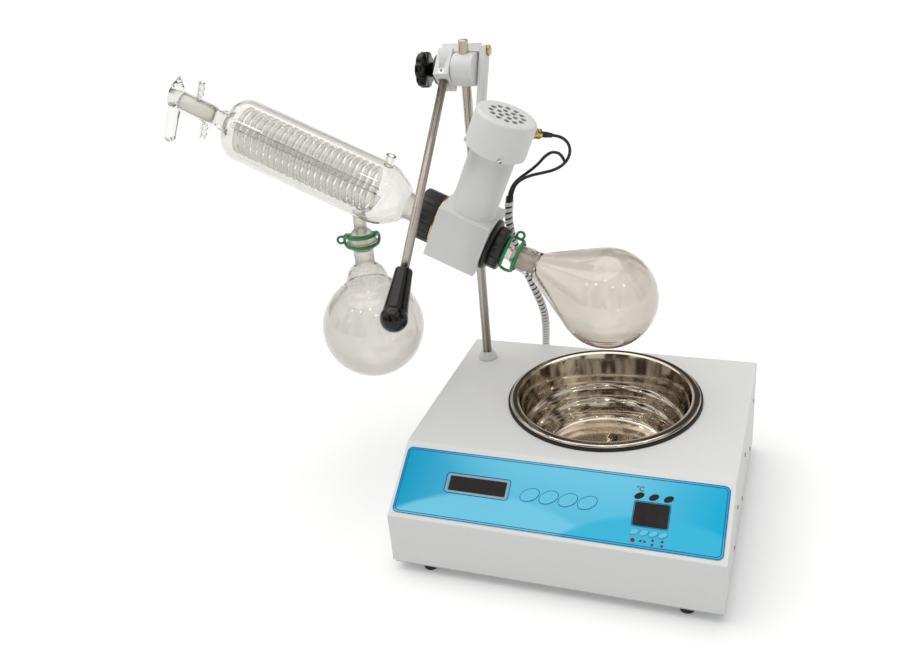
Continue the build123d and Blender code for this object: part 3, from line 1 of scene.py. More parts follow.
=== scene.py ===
# %% [markdown]
# # A benchtop rotary evaporator
# A round flask turns in a warm bath, its vapour goes through a hollow shaft into a glass
# condenser, and the distillate drips into a second flask. The solids come from the frame.
# This script gives them their finishes, and replaces those whose surfaces need finer
# modelling: the blown glass, the spun bath, the printed panel and the cables.

# %% Load the frame
import json
import math
import bmesh
import bpy
from mathutils import Matrix, Vector


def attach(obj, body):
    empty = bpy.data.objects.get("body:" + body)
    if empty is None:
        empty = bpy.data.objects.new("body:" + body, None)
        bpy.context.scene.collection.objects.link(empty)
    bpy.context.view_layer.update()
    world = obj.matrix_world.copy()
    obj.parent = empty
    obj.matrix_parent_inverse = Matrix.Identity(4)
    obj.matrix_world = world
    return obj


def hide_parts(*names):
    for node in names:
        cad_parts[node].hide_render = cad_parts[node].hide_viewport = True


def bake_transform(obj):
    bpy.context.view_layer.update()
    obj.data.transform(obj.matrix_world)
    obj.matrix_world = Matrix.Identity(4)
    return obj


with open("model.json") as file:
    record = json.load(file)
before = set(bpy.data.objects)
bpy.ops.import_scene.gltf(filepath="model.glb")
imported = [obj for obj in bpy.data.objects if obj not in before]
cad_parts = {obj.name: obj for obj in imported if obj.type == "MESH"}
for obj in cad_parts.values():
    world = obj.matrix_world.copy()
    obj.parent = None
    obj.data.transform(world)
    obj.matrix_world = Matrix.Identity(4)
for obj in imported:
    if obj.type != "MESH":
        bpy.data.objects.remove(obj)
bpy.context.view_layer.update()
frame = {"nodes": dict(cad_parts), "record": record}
nodes = frame["nodes"]
bodies = frame["record"]["behaviour"]["bodies"]
body_of = {name: body for body, names in bodies.items() for name in names}

# %% [markdown]
# ## The camera
# The photograph was taken from the front, a little to the right and above. Its place was
# found by fitting a pinhole camera to the straight edges of the base. A camera in Blender
# looks along its own -Z, so its three axes are worked out from two angles and a small roll.

# %% The camera
MM = 0.001
SENSOR_WIDTH = 36
VIEW_TURN = math.radians(22.04)
VIEW_RISE = math.radians(26.31)
VIEW_ROLL = -0.0967
VIEW_PLACE = Vector((462.0, -1091.2, 836.05)) * MM
FOCAL_PIXELS = 1004.4
PICTURE_WIDTH = 900


def linked(name, data):
    """A new object with this data, linked into the scene."""
    thing = bpy.data.objects.new(name, data)
    bpy.context.scene.collection.objects.link(thing)
    return thing


back = Vector((
    math.sin(VIEW_TURN) * math.cos(VIEW_RISE),
    -math.cos(VIEW_TURN) * math.cos(VIEW_RISE),
    math.sin(VIEW_RISE),
))
level = (-back).cross(Vector((0, 0, 1))).normalized()
upright = level.cross(-back)
right = level * math.cos(VIEW_ROLL) + upright * math.sin(VIEW_ROLL)
up = upright * math.cos(VIEW_ROLL) - level * math.sin(VIEW_ROLL)
camera = linked("camera", bpy.data.cameras.new("camera"))
camera.data.sensor_width = SENSOR_WIDTH
camera.data.lens = FOCAL_PIXELS * SENSOR_WIDTH / PICTURE_WIDTH
camera.matrix_world = Matrix.Translation(VIEW_PLACE) @ Matrix((right, up, back)).transposed().to_4x4()
bpy.context.scene.camera = camera
print("camera at", [round(v, 3) for v in camera.location], "lens", round(camera.data.lens, 1))

# %% [markdown]
# ## Places
# Some pieces are drawn in frames of their own: the rotor, whose axis slopes 23.6 degrees,
# the ball joint, the bath, the sloping panel and the lever. Each frame is a matrix in metres
# whose columns are its axes. A lathe turns about Z, so the rotor's Z runs along its axis.

# %% The frames
BASE_LEFT, BASE_FRONT, SHELL_LOW = -9.473, -192.5, 14.0
FRONT_HEIGHT, SHELL_HEIGHT, SLOPE_DEPTH = 70.0, 126.0, 85.0
SHELL_TOP = SHELL_LOW + SHELL_HEIGHT
TILT = math.radians(23.6)
LEAN = math.radians(46.0)
HEAD_CENTRE = Vector((BASE_LEFT + 41.6, BASE_FRONT + 245.0, 364.1))
BALL_CENTRE = Vector((BASE_LEFT - 107.5, BASE_FRONT + 245.0, 346.6))
BATH_CENTRE = Vector((BASE_LEFT + 222.6, BASE_FRONT + 235.2, SHELL_TOP))
PIVOT = Vector((BASE_LEFT, BASE_FRONT + 316.9, 557.5))
X, Y, Z = Vector((1, 0, 0)), Vector((0, 1, 0)), Vector((0, 0, 1))


def axes(origin, x, y, z):
    """A matrix with these axes at a place given in millimetres."""
    turn = Matrix((x, y, z)).transposed().to_4x4()
    return Matrix.Translation(Vector(origin) * MM) @ turn


along = Vector((math.cos(TILT), 0, -math.sin(TILT)))
motor_up = Vector((math.sin(TILT), 0, math.cos(TILT)))
slope = Vector((0, SLOPE_DEPTH, SHELL_HEIGHT - FRONT_HEIGHT)).normalized()
lever_up = Vector((0, math.sin(LEAN), math.cos(LEAN)))
ROTOR = axes(HEAD_CENTRE, -motor_up, Y, along)
BALL = axes(BALL_CENTRE, X, Y, Z)
BATH = axes(BATH_CENTRE, X, Y, Z)
PANEL = axes((BASE_LEFT, BASE_FRONT, SHELL_LOW + FRONT_HEIGHT), X, slope, X.cross(slope))
lever_side = lever_up.cross(X)
LEVER = axes(PIVOT + Vector((10, 0, 0)) - 4.5 * lever_side, X, lever_side, lever_up)
print("head centre", [round(v, 4) for v in ROTOR.translation])

# %% [markdown]
# ## Small helpers
# Every new piece ends the same way: its bmesh is moved to its place, its normals are made
# to point outwards, it gets smooth shading with sharp edges where faces meet at an angle,
# and it rides on the body of the solid that it stands for.

# %% Finishing a piece
SHARP = math.radians(32)


def finish(name, bm, body, finishes, place=None, stands_for=(), sharp=SHARP, unit=MM):
    """Turns a bmesh into a finished piece that rides on a body. Its unit is a millimetre."""
    bmesh.ops.remove_doubles(bm, verts=bm.verts, dist=0.004 * MM / unit)
    bmesh.ops.recalc_face_normals(bm, faces=bm.faces)
    bmesh.ops.scale(bm, vec=(unit, unit, unit), verts=bm.verts)
    if place is not None:
        bmesh.ops.transform(bm, matrix=place, verts=bm.verts)
    mesh = bpy.data.meshes.new(name)
    bm.to_mesh(mesh)
    bm.free()
    mesh.shade_smooth()
    mesh.set_sharp_from_angle(angle=sharp)
    for finish_of in finishes:
        mesh.materials.append(finish_of)
    piece = linked(name, mesh)
    if body:
        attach(piece, body)
    if stands_for:
        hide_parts(*stands_for)
    print(name, len(mesh.polygons), "faces on", body)
    return piece


# %% [markdown]
# Most of these pieces are round, since glass is blown and metal turned about an axis. So a
# profile of points is drawn once and spun about Z, as a lathe would cut it.

# %% A lathe
def arc(centre_r, centre_z, radius, start, end, steps):
    """Points (r, z) on an arc; its angles run from +Z towards +R, in degrees."""
    points = []
    for index in range(steps + 1):
        angle = math.radians(start + (end - start) * index / steps)
        points.append((centre_r + radius * math.sin(angle), centre_z + radius * math.cos(angle)))
    return points


def turned(bm, geom, angle, steps, cent=(0, 0, 0), axis=(0, 0, 1), climb=0.0, merge=False):
    """Spins a part of a bmesh about an axis while it climbs, and gives its last section."""
    return bmesh.ops.spin(
        bm, geom=geom, cent=cent, axis=axis, dvec=(0, 0, climb), angle=angle, steps=steps,
        use_merge=merge, use_duplicate=False,
    )["geom_last"]


def lathe(profile, steps=96, closed=False):
    """Spins a line of (r, z) points once about Z."""
    bm = bmesh.new()
    verts = [bm.verts.new((r, 0, z)) for r, z in profile]
    pairs = list(zip(verts, verts[1:])) + ([(verts[-1], verts[0])] if closed else [])
    for first, second in pairs:
        if first.co.x > 0.01 or second.co.x > 0.01:
            bm.edges.new((first, second))
    turned(bm, bm.verts[:] + bm.edges[:], 2 * math.pi, steps, merge=True)
    bmesh.ops.remove_doubles(bm, verts=bm.verts, dist=0.004)
    return bm


def join(target, other, place=None):
    """Adds one bmesh to another, moved by a matrix in millimetres."""
    if place is not None:
        bmesh.ops.transform(other, matrix=place, verts=other.verts)
    mesh = bpy.data.meshes.new("part")
    other.to_mesh(mesh)
    other.free()
    target.from_mesh(mesh)
    bpy.data.meshes.remove(mesh)
    return target


# %% [markdown]
# ## Finishes
# Each finish starts from what the real thing is made of. Colours are written as the sRGB
# hex values that one reads off a swatch, and one function turns them to the linear values
# that the shader wants. Another adds a node with its settings and its links.

# %% Colour and node helpers
def colour(code):
    """An sRGB hex code as a linear colour with alpha 1."""
    values = []
    for start in (1, 3, 5):
        v = int(code[start:start + 2], 16) / 255
        values.append(v / 12.92 if v <= 0.04045 else ((v + 0.055) / 1.055) ** 2.4)
    return (*values, 1.0)


def add(tree, kind, links=None, **settings):
    """Adds a node; settings name its sockets or its properties, links its inputs."""
    new = tree.nodes.new(kind)
    for key, value in settings.items():
        if hasattr(new, key):
            setattr(new, key, value)
        else:
            new.inputs[key.replace("_", " ")].default_value = value
    for key, source in (links or {}).items():
        tree.links.new(source, new.inputs[key])
    return new


def new_finish(name):
    """A material with an empty tree, its shader and its output."""
    material = bpy.data.materials.new(name)
    material.use_nodes = True
    tree = material.node_tree
    tree.nodes.clear()
    shader = tree.nodes.new("ShaderNodeBsdfPrincipled")
    out = tree.nodes.new("ShaderNodeOutputMaterial")
    tree.links.new(shader.outputs[0], out.inputs[0])
    print("finish", name)
    return material, tree, shader


def put(shader, **values):
    """Sets the shader's own sockets; an underscore stands for a space in a socket's name."""
    for key, value in values.items():
        shader.inputs[key.replace("_", " ")].default_value = value


def per_mm(size):
    """The scale of a texture on Object coordinates whose features are this many mm."""
    return 1 / (size * MM)


def grained(
    name, low, high, grain, bump, roughness, spread=0.05, stretch=(1, 1, 1), turn=(0, 0, 0), **values
):
    """A finish whose colour, roughness and relief vary with one noise on Object coordinates."""
    material, tree, shader = new_finish(name)
    where = add(tree, "ShaderNodeTexCoord").outputs["Object"]
    laid = add(
        tree, "ShaderNodeMapping", {"Vector": where}, vector_type="TEXTURE", Rotation=turn, Scale=stretch,
    ).outputs[0]
    noise = add(tree, "ShaderNodeTexNoise", {"Vector": laid}, Scale=per_mm(grain), Detail=4.0).outputs["Fac"]
    ramp = add(tree, "ShaderNodeValToRGB", {"Fac": noise})
    for stop, place, shade in zip(ramp.color_ramp.elements, (0.3, 0.7), (low, high)):
        stop.position = place
        stop.color = colour(shade)
    tree.links.new(ramp.outputs["Color"], shader.inputs["Base Color"])
    rough = add(
        tree, "ShaderNodeMapRange", {"Value": noise},
        To_Min=roughness - spread, To_Max=roughness + spread,
    )
    tree.links.new(rough.outputs[0], shader.inputs["Roughness"])
    relief = add(tree, "ShaderNodeBump", {"Height": noise}, Strength=bump, Distance=0.0002)
    tree.links.new(relief.outputs[0], shader.inputs["Normal"])
    put(shader, **values)
    return material


# %% [markdown]
# The housing is folded sheet steel with a white powder coat: a satin, faintly pebbled
# skin, since the powder melts into a film with a soft orange peel of a millimetre or so.
# Real pebbles are too fine to show here, so they are drawn a little coarser.

# %% Painted and plated finishes
powder_coat = grained("powder_coat_white", "#E1E1DF", "#E5E4E1", 1.6, 0.02, 0.42)
zinc = grained("zinc_plate", "#A9ABAC", "#BCBDBD", 3.0, 0.1, 0.38, Metallic=1.0)
nickel = grained("nickel_screws", "#C9C6C0", "#DAD8D3", 0.8, 0.05, 0.25, Metallic=1.0)
brass = grained("turned_brass", "#B3995E", "#C9B279", 0.6, 0.08, 0.24, Metallic=1.0)

# %% [markdown]
# The column and the lever are bright drawn stainless bar. Drawing leaves fine lines along
# the bar, so the noise is stretched along it. The bath is deep drawn and polished: nearly
# a mirror, with the faint waviness of thin sheet.

# %% Stainless steel
def drawn_steel(name, lean):
    """Stainless bar whose lines run along an axis in the YZ plane, leaning by an angle."""
    return grained(
        name, "#A8A096", "#BDB6AD", 1.0, 0.06, 0.26, 0.06,
        stretch=(1, 1, 60), turn=(-lean, 0, 0), Metallic=1.0,
    )


column_steel = drawn_steel("drawn_stainless_column", 0.0)
lever_steel = drawn_steel("drawn_stainless_lever", LEAN)
machined_steel = grained("machined_steel", "#9A9A98", "#B4B3B0", 0.9, 0.15, 0.3, Metallic=1.0)
bath_steel = grained("polished_stainless", "#B5AB9E", "#C4BBAE", 30.0, 0.10, 0.08, 0.02, Metallic=1.0)

# %% [markdown]
# Grip and knob are moulded phenolic, black and glossy like a billiard ball. The union nuts
# are a duller glass-filled plastic, the gasket and feet are rubber, the cable PVC. The
# clips are green acetal, a slightly waxy plastic, and the harness wrap is polyethylene.
# Ink is a thin dull coat, and the windows are smoked so dark that they hide what is behind.

# %% Plastics and rubber
phenolic = grained("glossy_phenolic", "#0A0808", "#110E0D", 5.0, 0.02, 0.12, 0.02, Specular_IOR_Level=0.35)
filled_nylon = grained("filled_nylon_black", "#141313", "#1F1D1C", 0.9, 0.25, 0.42, 0.06)
rubber = grained("moulded_rubber", "#0D0D0D", "#181818", 1.2, 0.2, 0.62)
cable_pvc = grained("cable_pvc", "#0E0D0D", "#191717", 1.5, 0.1, 0.38)
acetal = grained("green_acetal", "#0C7A3C", "#15924C", 2.0, 0.08, 0.3, Coat_Weight=0.25)
polythene = grained(
    "polythene_wrap", "#EDEAE6", "#F4F2EF", 2.0, 0.05, 0.34,
    Subsurface_Weight=0.15, Subsurface_Radius=(0.002, 0.002, 0.002),
)
fan_plastic = grained("fan_plastic", "#4E211B", "#5E2C24", 2.0, 0.05, 0.4)
board_green = grained("solder_resist", "#0E4A27", "#176135", 3.0, 0.1, 0.4)
smoked = grained("smoked_window", "#101014", "#241F1B", 22.0, 0.0, 0.16, 0.02, Specular_IOR_Level=0.12)
print_ink = grained("printed_ink", "#173E78", "#1C4783", 0.8, 0.02, 0.4, Specular_IOR_Level=0.2)
symbol_ink = grained("dark_red_ink", "#6F1D33", "#7C243B", 0.8, 0.02, 0.4, Specular_IOR_Level=0.2)
bezel_film = grained("grey_bezel_film", "#8FA3AF", "#98ABB6", 1.2, 0.02, 0.35, Specular_IOR_Level=0.3)

# %% [markdown]
# Laboratory glass is borosilicate: clear, with an IOR of 1.47. Joints are ground with an
# abrasive, and the matt skin that it leaves scatters light, so they are rough inside too.

# %% Glass
def blown_glass(name, middle, edge, roughness, ripple, clear=1.0):
    """Glass with a tint that deepens where the eye looks along the wall, and a slight ripple."""
    material, tree, shader = new_finish(name)
    where = add(tree, "ShaderNodeTexCoord").outputs["Object"]
    wave = add(tree, "ShaderNodeTexNoise", {"Vector": where}, Scale=per_mm(24.0), Detail=1.0)
    relief = add(tree, "ShaderNodeBump", {"Height": wave.outputs["Fac"]}, Strength=ripple, Distance=0.001)
    tree.links.new(relief.outputs[0], shader.inputs["Normal"])
    facing = add(tree, "ShaderNodeLayerWeight", Blend=0.3).outputs["Facing"]
    tint = add(tree, "ShaderNodeMix", {"Factor": facing}, data_type="RGBA")
    tint.inputs[6].default_value = colour(middle)
    tint.inputs[7].default_value = colour(edge)
    tree.links.new(tint.outputs[2], shader.inputs["Base Color"])
    put(shader, Roughness=roughness, IOR=1.47, Transmission_Weight=clear)
    return material


clear_glass = blown_glass("borosilicate_glass", "#EAE8E5", "#C2BFB9", 0.0, 0.08)
flask_glass = blown_glass("flask_glass", "#E9E5DF", "#C0BAB0", 0.0, 0.08)
jacket_glass = blown_glass("jacket_glass", "#FAF9F7", "#D6D4CE", 0.0, 0.06)
coil_glass = blown_glass("coil_glass", "#FFFEFB", "#F3F0E8", 0.08, 0.0, clear=0.82)
plug_glass = blown_glass("frosted_plug_glass", "#FDFCF4", "#F2F0E4", 0.3, 0.0, clear=0.8)
ground_glass = blown_glass("ground_glass", "#F0EDE6", "#DAD6CC", 0.35, 0.0)

# %% [markdown]
# ## Carried-over solids
# Most of the painted, turned and moulded parts already have the right shape. Their meshes
# are loose triangles, so a copy is merged and shaded smooth up to a sharp edge: then a
# tube looks round, and its ends stay crisp.

# %% Smooth copies of the solids
def smooth_copy(node, finish_of):
    """A merged, smooth-shaded copy of a solid, standing for it."""
    bm = bmesh.new()
    bm.from_mesh(nodes[node].data)
    return finish(node + "_smooth", bm, body_of[node], [finish_of], stands_for=[node], unit=1.0)


carried = [
    (powder_coat, "white_paint", [
        "base_shell", "side_covers", "clamp_boss", "yoke_block", "arm", "gear_housing",
        "housing_cover", "motor_tube", "motor_cap", "column_collar",
    ]),
    (brass, "brass", ["side_screws", "arm_bolt", "nut_ring"]),
    (nickel, "zinc_plate", ["head_screws", "lever_set_screw"]),
    (column_steel, "stainless", ["column"]),
    (lever_steel, "stainless", ["lever_rod"]),
    (phenolic, "black_plastic", ["swing_knob"]),
    (filled_nylon, "black_plastic", [
        "knob_washer", "drive_shaft", "drive_nut", "condenser_nut", "base_gland", "power_inlet",
        "power_rocker",
    ]),
    (rubber, "black_rubber", ["feet", "bath_gasket"]),
]
for finish_of, slot, names in carried:
    for node in names:
        smooth_copy(node, finish_of)

# %% [markdown]
# The hidden solids stay as they are, and only get the finish of what they are made of:
# zinc plated floor, coated boards, bare machined steel, a rubber seal and a plastic fan.

# %% Hidden solids
hidden = {
    zinc: ["bottom_plate"],
    board_green: ["circuit_boards"],
    machined_steel: [
        "heating_element", "shaft_bearings", "motor_body", "motor_shaft", "ring_gear", "height_screw",
    ],
    rubber: ["vacuum_seal"],
    fan_plastic: ["cooling_fan"],
}
for finish_of, names in hidden.items():
    for node in names:
        mesh = nodes[node].data
        mesh.materials.clear()
        mesh.materials.append(finish_of)
print(sum(len(names) for names in hidden.values()), "hidden solids finished")

# %% [markdown]
# ## The bath
# A bowl pressed in three steps, with a flat rim rolled down onto its gasket. It is one
# profile spun about Z. It starts at the middle of the floor, goes up the inside, over the
# rolled rim and back down the outside, one sheet's thickness away.

# %% The bath
BATH_DEPTH = 84.0
rolled = arc(122.2, 4.2, 2.8, 0, 90, 6)
inside = [(0, -BATH_DEPTH)] + arc(79, -76.0, 8.0, 180, 100, 6)
steps_up = [
    (92.2, -62.6), (93.4, -60.9), (96.2, -59.0), (97.6, -57.4), (98.3, -55.0),
    (101.4, -45.0), (102.4, -42.9), (105.2, -41.0), (106.6, -39.4), (107.3, -37.0),
]
lip = [(112.6, 4.2), (113.4, 6.0), (115.2, 7.0)]
inner_wall = inside + steps_up + lip + rolled
outer_wall = [
    (124.0, 3.0), (124.0, 4.6), (122.2, 6.0), (115.8, 6.0), (114.4, 5.2), (108.2, -36.6),
    (106.2, -41.6), (103.2, -43.6), (99.2, -54.6), (97.2, -59.6), (94.2, -61.6),
    (88.4, -80.0), (80.0, -85.0), (0, -85.0),
]
bowl = lathe(inner_wall + outer_wall, 144)
finish("bath_bowl_spun", bowl, "base", [bath_steel], BATH, ["bath_bowl"])

# %% [markdown]
# ## The grip
# A phenolic handle turned to a taper, with a collar where the rod goes in and a ball end.

# %% The grip
GRIP_TOP, GRIP_BALL = -279.0, -342.0
cap = [(5.6, GRIP_TOP), (9.6, GRIP_TOP), (10.4, GRIP_TOP - 0.8), (10.9, GRIP_TOP - 3.0)]
taper = [
    (14.9, GRIP_BALL + 12.0), (15.3, GRIP_BALL + 9.4), (15.0, GRIP_BALL + 8.8),
    (15.0, GRIP_BALL + 8.0), (15.6, GRIP_BALL + 7.4),
]
ball = arc(0, GRIP_BALL, 17.0, 68, 180, 22)
finish(
    "lever_grip_turned", lathe(cap + taper + ball), "yoke", [phenolic], LEVER,
    ["lever_grip"], sharp=math.radians(50),
)

# %% [markdown]
# ## The glass
# Blown glass has a wall, and the wall is what makes it look like glass: light bends twice,
# so the edges darken and the middle stays clear. Each vessel is a profile that runs along
# the outside and back along the inside, spun into one closed skin.

# %% The evaporating flask
FLASK_CENTRE, FLASK_RADIUS, FLASK_END, GLASS = 202.2, 64.6, 120.3, 1.8
SOFT = math.radians(60)
outer = arc(0, FLASK_CENTRE, FLASK_RADIUS, 0, FLASK_END, 40)
outer += [
    (19.6, 107.0), (18.2, 104.6), (17.3, 102.0), (16.9, 99.0), (16.8, 95.6), (17.6, 94.4),
    (18.1, 92.0), (17.6, 89.6), (16.8, 88.4), (16.8, 78.4), (17.6, 77.6), (18.9, 77.0),
    (19.2, 76.0), (19.2, 74.2), (18.7, 73.2), (17.6, 73.0), (15.2, 73.0), (14.7, 73.6),
]
inner = [(13.4, 101.2), (15.2, 104.0), (17.2, 107.4)]
inner += arc(0, FLASK_CENTRE, FLASK_RADIUS - GLASS, FLASK_END, 0, 40)
finish(
    "evaporating_flask_blown", lathe(outer + inner, 128), "rotor", [flask_glass], ROTOR,
    ["evaporating_flask"], sharp=SOFT,
)

# %% [markdown]
# The vapour tube is drawn glass tubing, with a collar that the nut holds and a cone that
# the flask sits on. The bore stays open, and the ground cone looks frosted.

# %% The vapour tube with its ground cone
def second_above(bm, height):
    """Gives the faces above a height the second of a piece's two finishes."""
    for face in bm.faces:
        face.material_index = 1 if face.calc_center_median().z > height else 0


tube = [
    (8.2, -58.0), (10.0, -58.0), (10.0, 43.6), (13.0, 43.8), (13.0, 48.8), (10.0, 49.0),
    (10.0, 68.5), (14.5, 73.5), (13.2, 101.0), (8.2, 101.0),
]
vapour = lathe(tube, 64, closed=True)
second_above(vapour, 70)
finish("vapour_tube_blown", vapour, "rotor", [clear_glass, ground_glass], ROTOR, ["vapour_tube"])

# %% [markdown]
# The receiving flask is a sphere with a neck and a socket, ground to fit the ball above it.
# Its wall is one closed skin too, so the rim of the neck shows how thick it is.

# %% The receiving flask
CUP_RADIUS, SOCKET_RADIUS, RECEIVER_CENTRE, RECEIVER_RADIUS = 19.9, 17.56, -131.2, 71.5
cup = [(SOCKET_RADIUS, -1.5), (20.4, -1.5), (21.0, -2.2), (21.0, -3.4), (20.3, -4.2)]
cup += arc(0, 0, CUP_RADIUS, 103, 132, 8)
neck = [
    (13.6, -16.6), (13.5, -18.0), (13.5, -36.0), (14.6, -37.2), (18.6, -39.2), (22.8, -42.8),
    (26.2, -48.6), (28.2, -55.0), (29.4, -60.4), (31.8, -64.2), (36.0, -67.2), (40.0, -70.8),
]
sphere = arc(0, RECEIVER_CENTRE, RECEIVER_RADIUS, 36, 180, 44)
inner = arc(0, RECEIVER_CENTRE, RECEIVER_RADIUS - GLASS, 180, 36, 44)
inner += [
    (35.2, -69.4), (30.6, -66.2), (27.8, -61.6), (26.4, -55.6), (24.6, -49.4), (21.4, -44.4),
    (17.6, -41.0), (13.2, -38.8), (11.7, -36.4), (11.7, -15.0), (11.8, -13.0),
]
socket = arc(0, 0, SOCKET_RADIUS, 138, 95, 10)
receiver = lathe(cup + neck + sphere + inner + socket, 112, closed=True)
second_above(receiver, -36.5)
finish(
    "receiving_flask_blown", receiver, "receiver", [clear_glass, ground_glass], BALL,
    ["receiving_flask"], sharp=SOFT,
)

# %% [markdown]
# ## The condenser
# A long jacket with a domed left end and a coned right shoulder. The coil inside carries
# the cooling water. The stopcock's barrel, the two hose nipples, a port, and the bent
# outlet with its ground ball are all fused on, so they are one piece of glass.

# %% The jacket
def mirrored(points):
    """The same profile with its Z the other way, because the condenser lies at negative Z."""
    return [(r, -z) for r, z in points]


DOME_RADIUS, DOME_CENTRE = 24.0, (18.0, 327.0)
shoulder = [
    (24.0, 54.4), (24.0, 58.2), (19.0, 59.0), (17.0, 61.0), (17.0, 80.5), (18.0, 83.5), (21.0, 86.0),
    (26.6, 89.6), (38.2, 109.2), (40.4, 114.4), (41.6, 119.6), (42.0, 125.0), (42.0, DOME_CENTRE[1]),
]
barrel = [
    (19.0, 351.0), (15.0, 352.6), (12.6, 355.0), (12.2, 358.0), (13.6, 361.0), (13.8, 364.0),
    (12.4, 366.4), (11.2, 369.0), (11.2, 373.0), (13.2, 376.0), (14.0, 378.5),
    (14.0, 423.5), (13.2, 425.6), (11.6, 426.0), (10.1, 425.6),
]
jacket = shoulder + arc(*DOME_CENTRE, DOME_RADIUS, 90, 14, 12) + barrel
bore = [(10.1, 374.6), (8.6, 373.0), (8.4, 358.0), (9.6, 352.0), (16.0, 349.2)]
bore += arc(*DOME_CENTRE, DOME_RADIUS - GLASS, 10, 90, 12)
bore += [
    (40.2, 125.4), (39.8, 120.0), (38.7, 115.2), (36.6, 110.2), (25.2, 91.0), (19.8, 87.4),
    (16.6, 84.4), (15.2, 81.0), (15.2, 54.4),
]
body = lathe(mirrored(jacket + bore), 112, closed=True)
second_above(body, -84)

# %% [markdown]
# A hose nipple is a short tube with swellings that grip the hose. Each is a profile of its
# own, laid across the axis and joined on, as a glass blower fuses it to the barrel. The
# spout with its ball is ground all over, so it is a frosted piece of its own.

# %% Nipples, port, spout and ball
olive = [
    (2.4, 10.6), (3.7, 10.6), (3.7, 18.4), (4.6, 19.6), (5.5, 21.6), (4.8, 24.0), (3.9, 25.0), (3.9, 26.6),
    (4.8, 28.0), (5.6, 30.4), (4.8, 33.0), (3.9, 34.0), (3.9, 36.0), (4.5, 37.6), (3.6, 38.0), (2.4, 38.0),
]
UP_AND_OUT = Matrix.Rotation(-math.pi / 2, 4, "Y")
for height, turn in ((-402.5, 0), (-387.5, math.pi)):
    stand = Matrix.Translation((0, 0, height)) @ Matrix.Rotation(turn, 4, "Z") @ UP_AND_OUT
    join(body, lathe(olive, 32, closed=True), stand)
port = [(4.0, 40.6), (6.5, 40.6), (6.5, 52.0), (7.0, 54.0), (6.6, 55.6), (5.0, 56.0), (4.0, 55.6)]
join(body, lathe(port, 40, closed=True), Matrix.Translation((0, 0, -124.0)) @ UP_AND_OUT)
finish(
    "condenser_jacket_blown", body, "yoke", [jacket_glass, ground_glass], ROTOR,
    ["condenser_jacket"], sharp=SOFT,
)

SPOUT_LENGTH = 39.0
outlet = [(6.7, SPOUT_LENGTH), (8.5, SPOUT_LENGTH), (8.5, 16.6)] + arc(0, 0, 17.5, 31, 140, 20)
outlet += [(8.6, -13.5), (6.7, -12.6)]
finish(
    "ball_joint_blown", lathe(outlet, 72, closed=True), "yoke", [ground_glass], BALL,
    ["condenser_jacket"], sharp=SOFT,
)

# %% [markdown]
# The coil is a glass tube wound on a mandrel, with its return tube straight through the
# middle. A spin that also moves a little along Z at every step makes a helix from a circle.

# %% The coil
def wound(bm, turns, pitch, steps):
    """Winds the section in a bmesh into a helix about Z, and closes its two ends."""
    count = int(turns * steps)
    climb = pitch * turns / count
    turned(bm, bm.verts[:] + bm.edges[:], 2 * math.pi * turns, count, climb=climb)
    bmesh.ops.holes_fill(bm, edges=[edge for edge in bm.edges if edge.is_boundary], sides=12)


def helix(radius, tube_radius, pitch, low, high, sides=12, steps=36):
    """A helix of round tube about Z between two heights."""
    bm = bmesh.new()
    made = bmesh.ops.create_circle(bm, cap_ends=False, radius=tube_radius, segments=sides)
    stand = Matrix.Translation((radius, 0, low)) @ Matrix.Rotation(math.pi / 2, 4, "X")
    bmesh.ops.transform(bm, matrix=stand, verts=made["verts"])
    wound(bm, (high - low) / pitch, pitch, steps)
    return bm


COIL_RADIUS, COIL_LOW, COIL_HIGH = 29.0, -334.0, -131.0
coil = helix(COIL_RADIUS, 3.2, 9.6, COIL_LOW, COIL_HIGH)
stem = lathe([(3.4, -349.0), (5.0, -349.0), (5.0, -128.0), (3.4, -128.0)], 28, closed=True)
for face in stem.faces:
    face.material_index = 1
join(coil, stem)
for height in (COIL_LOW, COIL_HIGH):
    stay = lathe([(0, 4.6), (2.6, 4.6), (2.6, COIL_RADIUS), (0, COIL_RADIUS)], 16)
    join(coil, stay, Matrix.Translation((0, 0, height)) @ Matrix.Rotation(math.pi / 2, 4, "Y"))
finish(
    "condenser_coil_wound", coil, "yoke", [coil_glass, jacket_glass], ROTOR,
    ["condenser_coil"], sharp=math.radians(80),
)

# %% [markdown]
# The key is a ground plug with a hollow handle drawn out in the flame: two lathe profiles
# at right angles. The plug takes the frosted finish, and the handle stays clear.

# %% The stopcock's key
plug = lathe([
    (0, -374.4), (9.2, -374.4), (9.9, -375.4), (9.9, -425.6), (8.0, -427.0), (6.0, -428.0),
    (6.0, -431.0), (10.5, -432.6), (12.0, -436.2), (11.4, -441.0), (8.0, -445.0), (0, -446.0),
], 56)
second_above(plug, -427)
handle = arc(0, -57.0, 8.2, 180, 90, 10) + [
    (8.4, -30.0), (9.6, -12.0), (11.4, -2.0), (11.6, 5.0), (10.4, 12.0), (7.6, 20.0),
    (4.6, 26.0), (2.6, 29.4), (2.4, 31.0), (1.6, 32.0), (0, 32.2),
]
join(plug, lathe(handle, 48), Matrix.Translation((0, 0, -436.0)) @ UP_AND_OUT)
finish(
    "stopcock_key_blown", plug, "stopcock", [jacket_glass, plug_glass], ROTOR,
    ["stopcock_key"], sharp=SOFT,
)

# %% [markdown]
# ## The joint clips
# Each ground joint is held by a green clip. It is one springy rail that runs round the joint
# in front, turns, and comes back: a long loop bent on a cylinder. Two thin lips hook behind
# the flanges, a ring at one end gives the finger a hold, and two pegs stand on the rail.

# %% The clips
UPRIGHT = Matrix.Rotation(math.pi / 2, 4, "X")


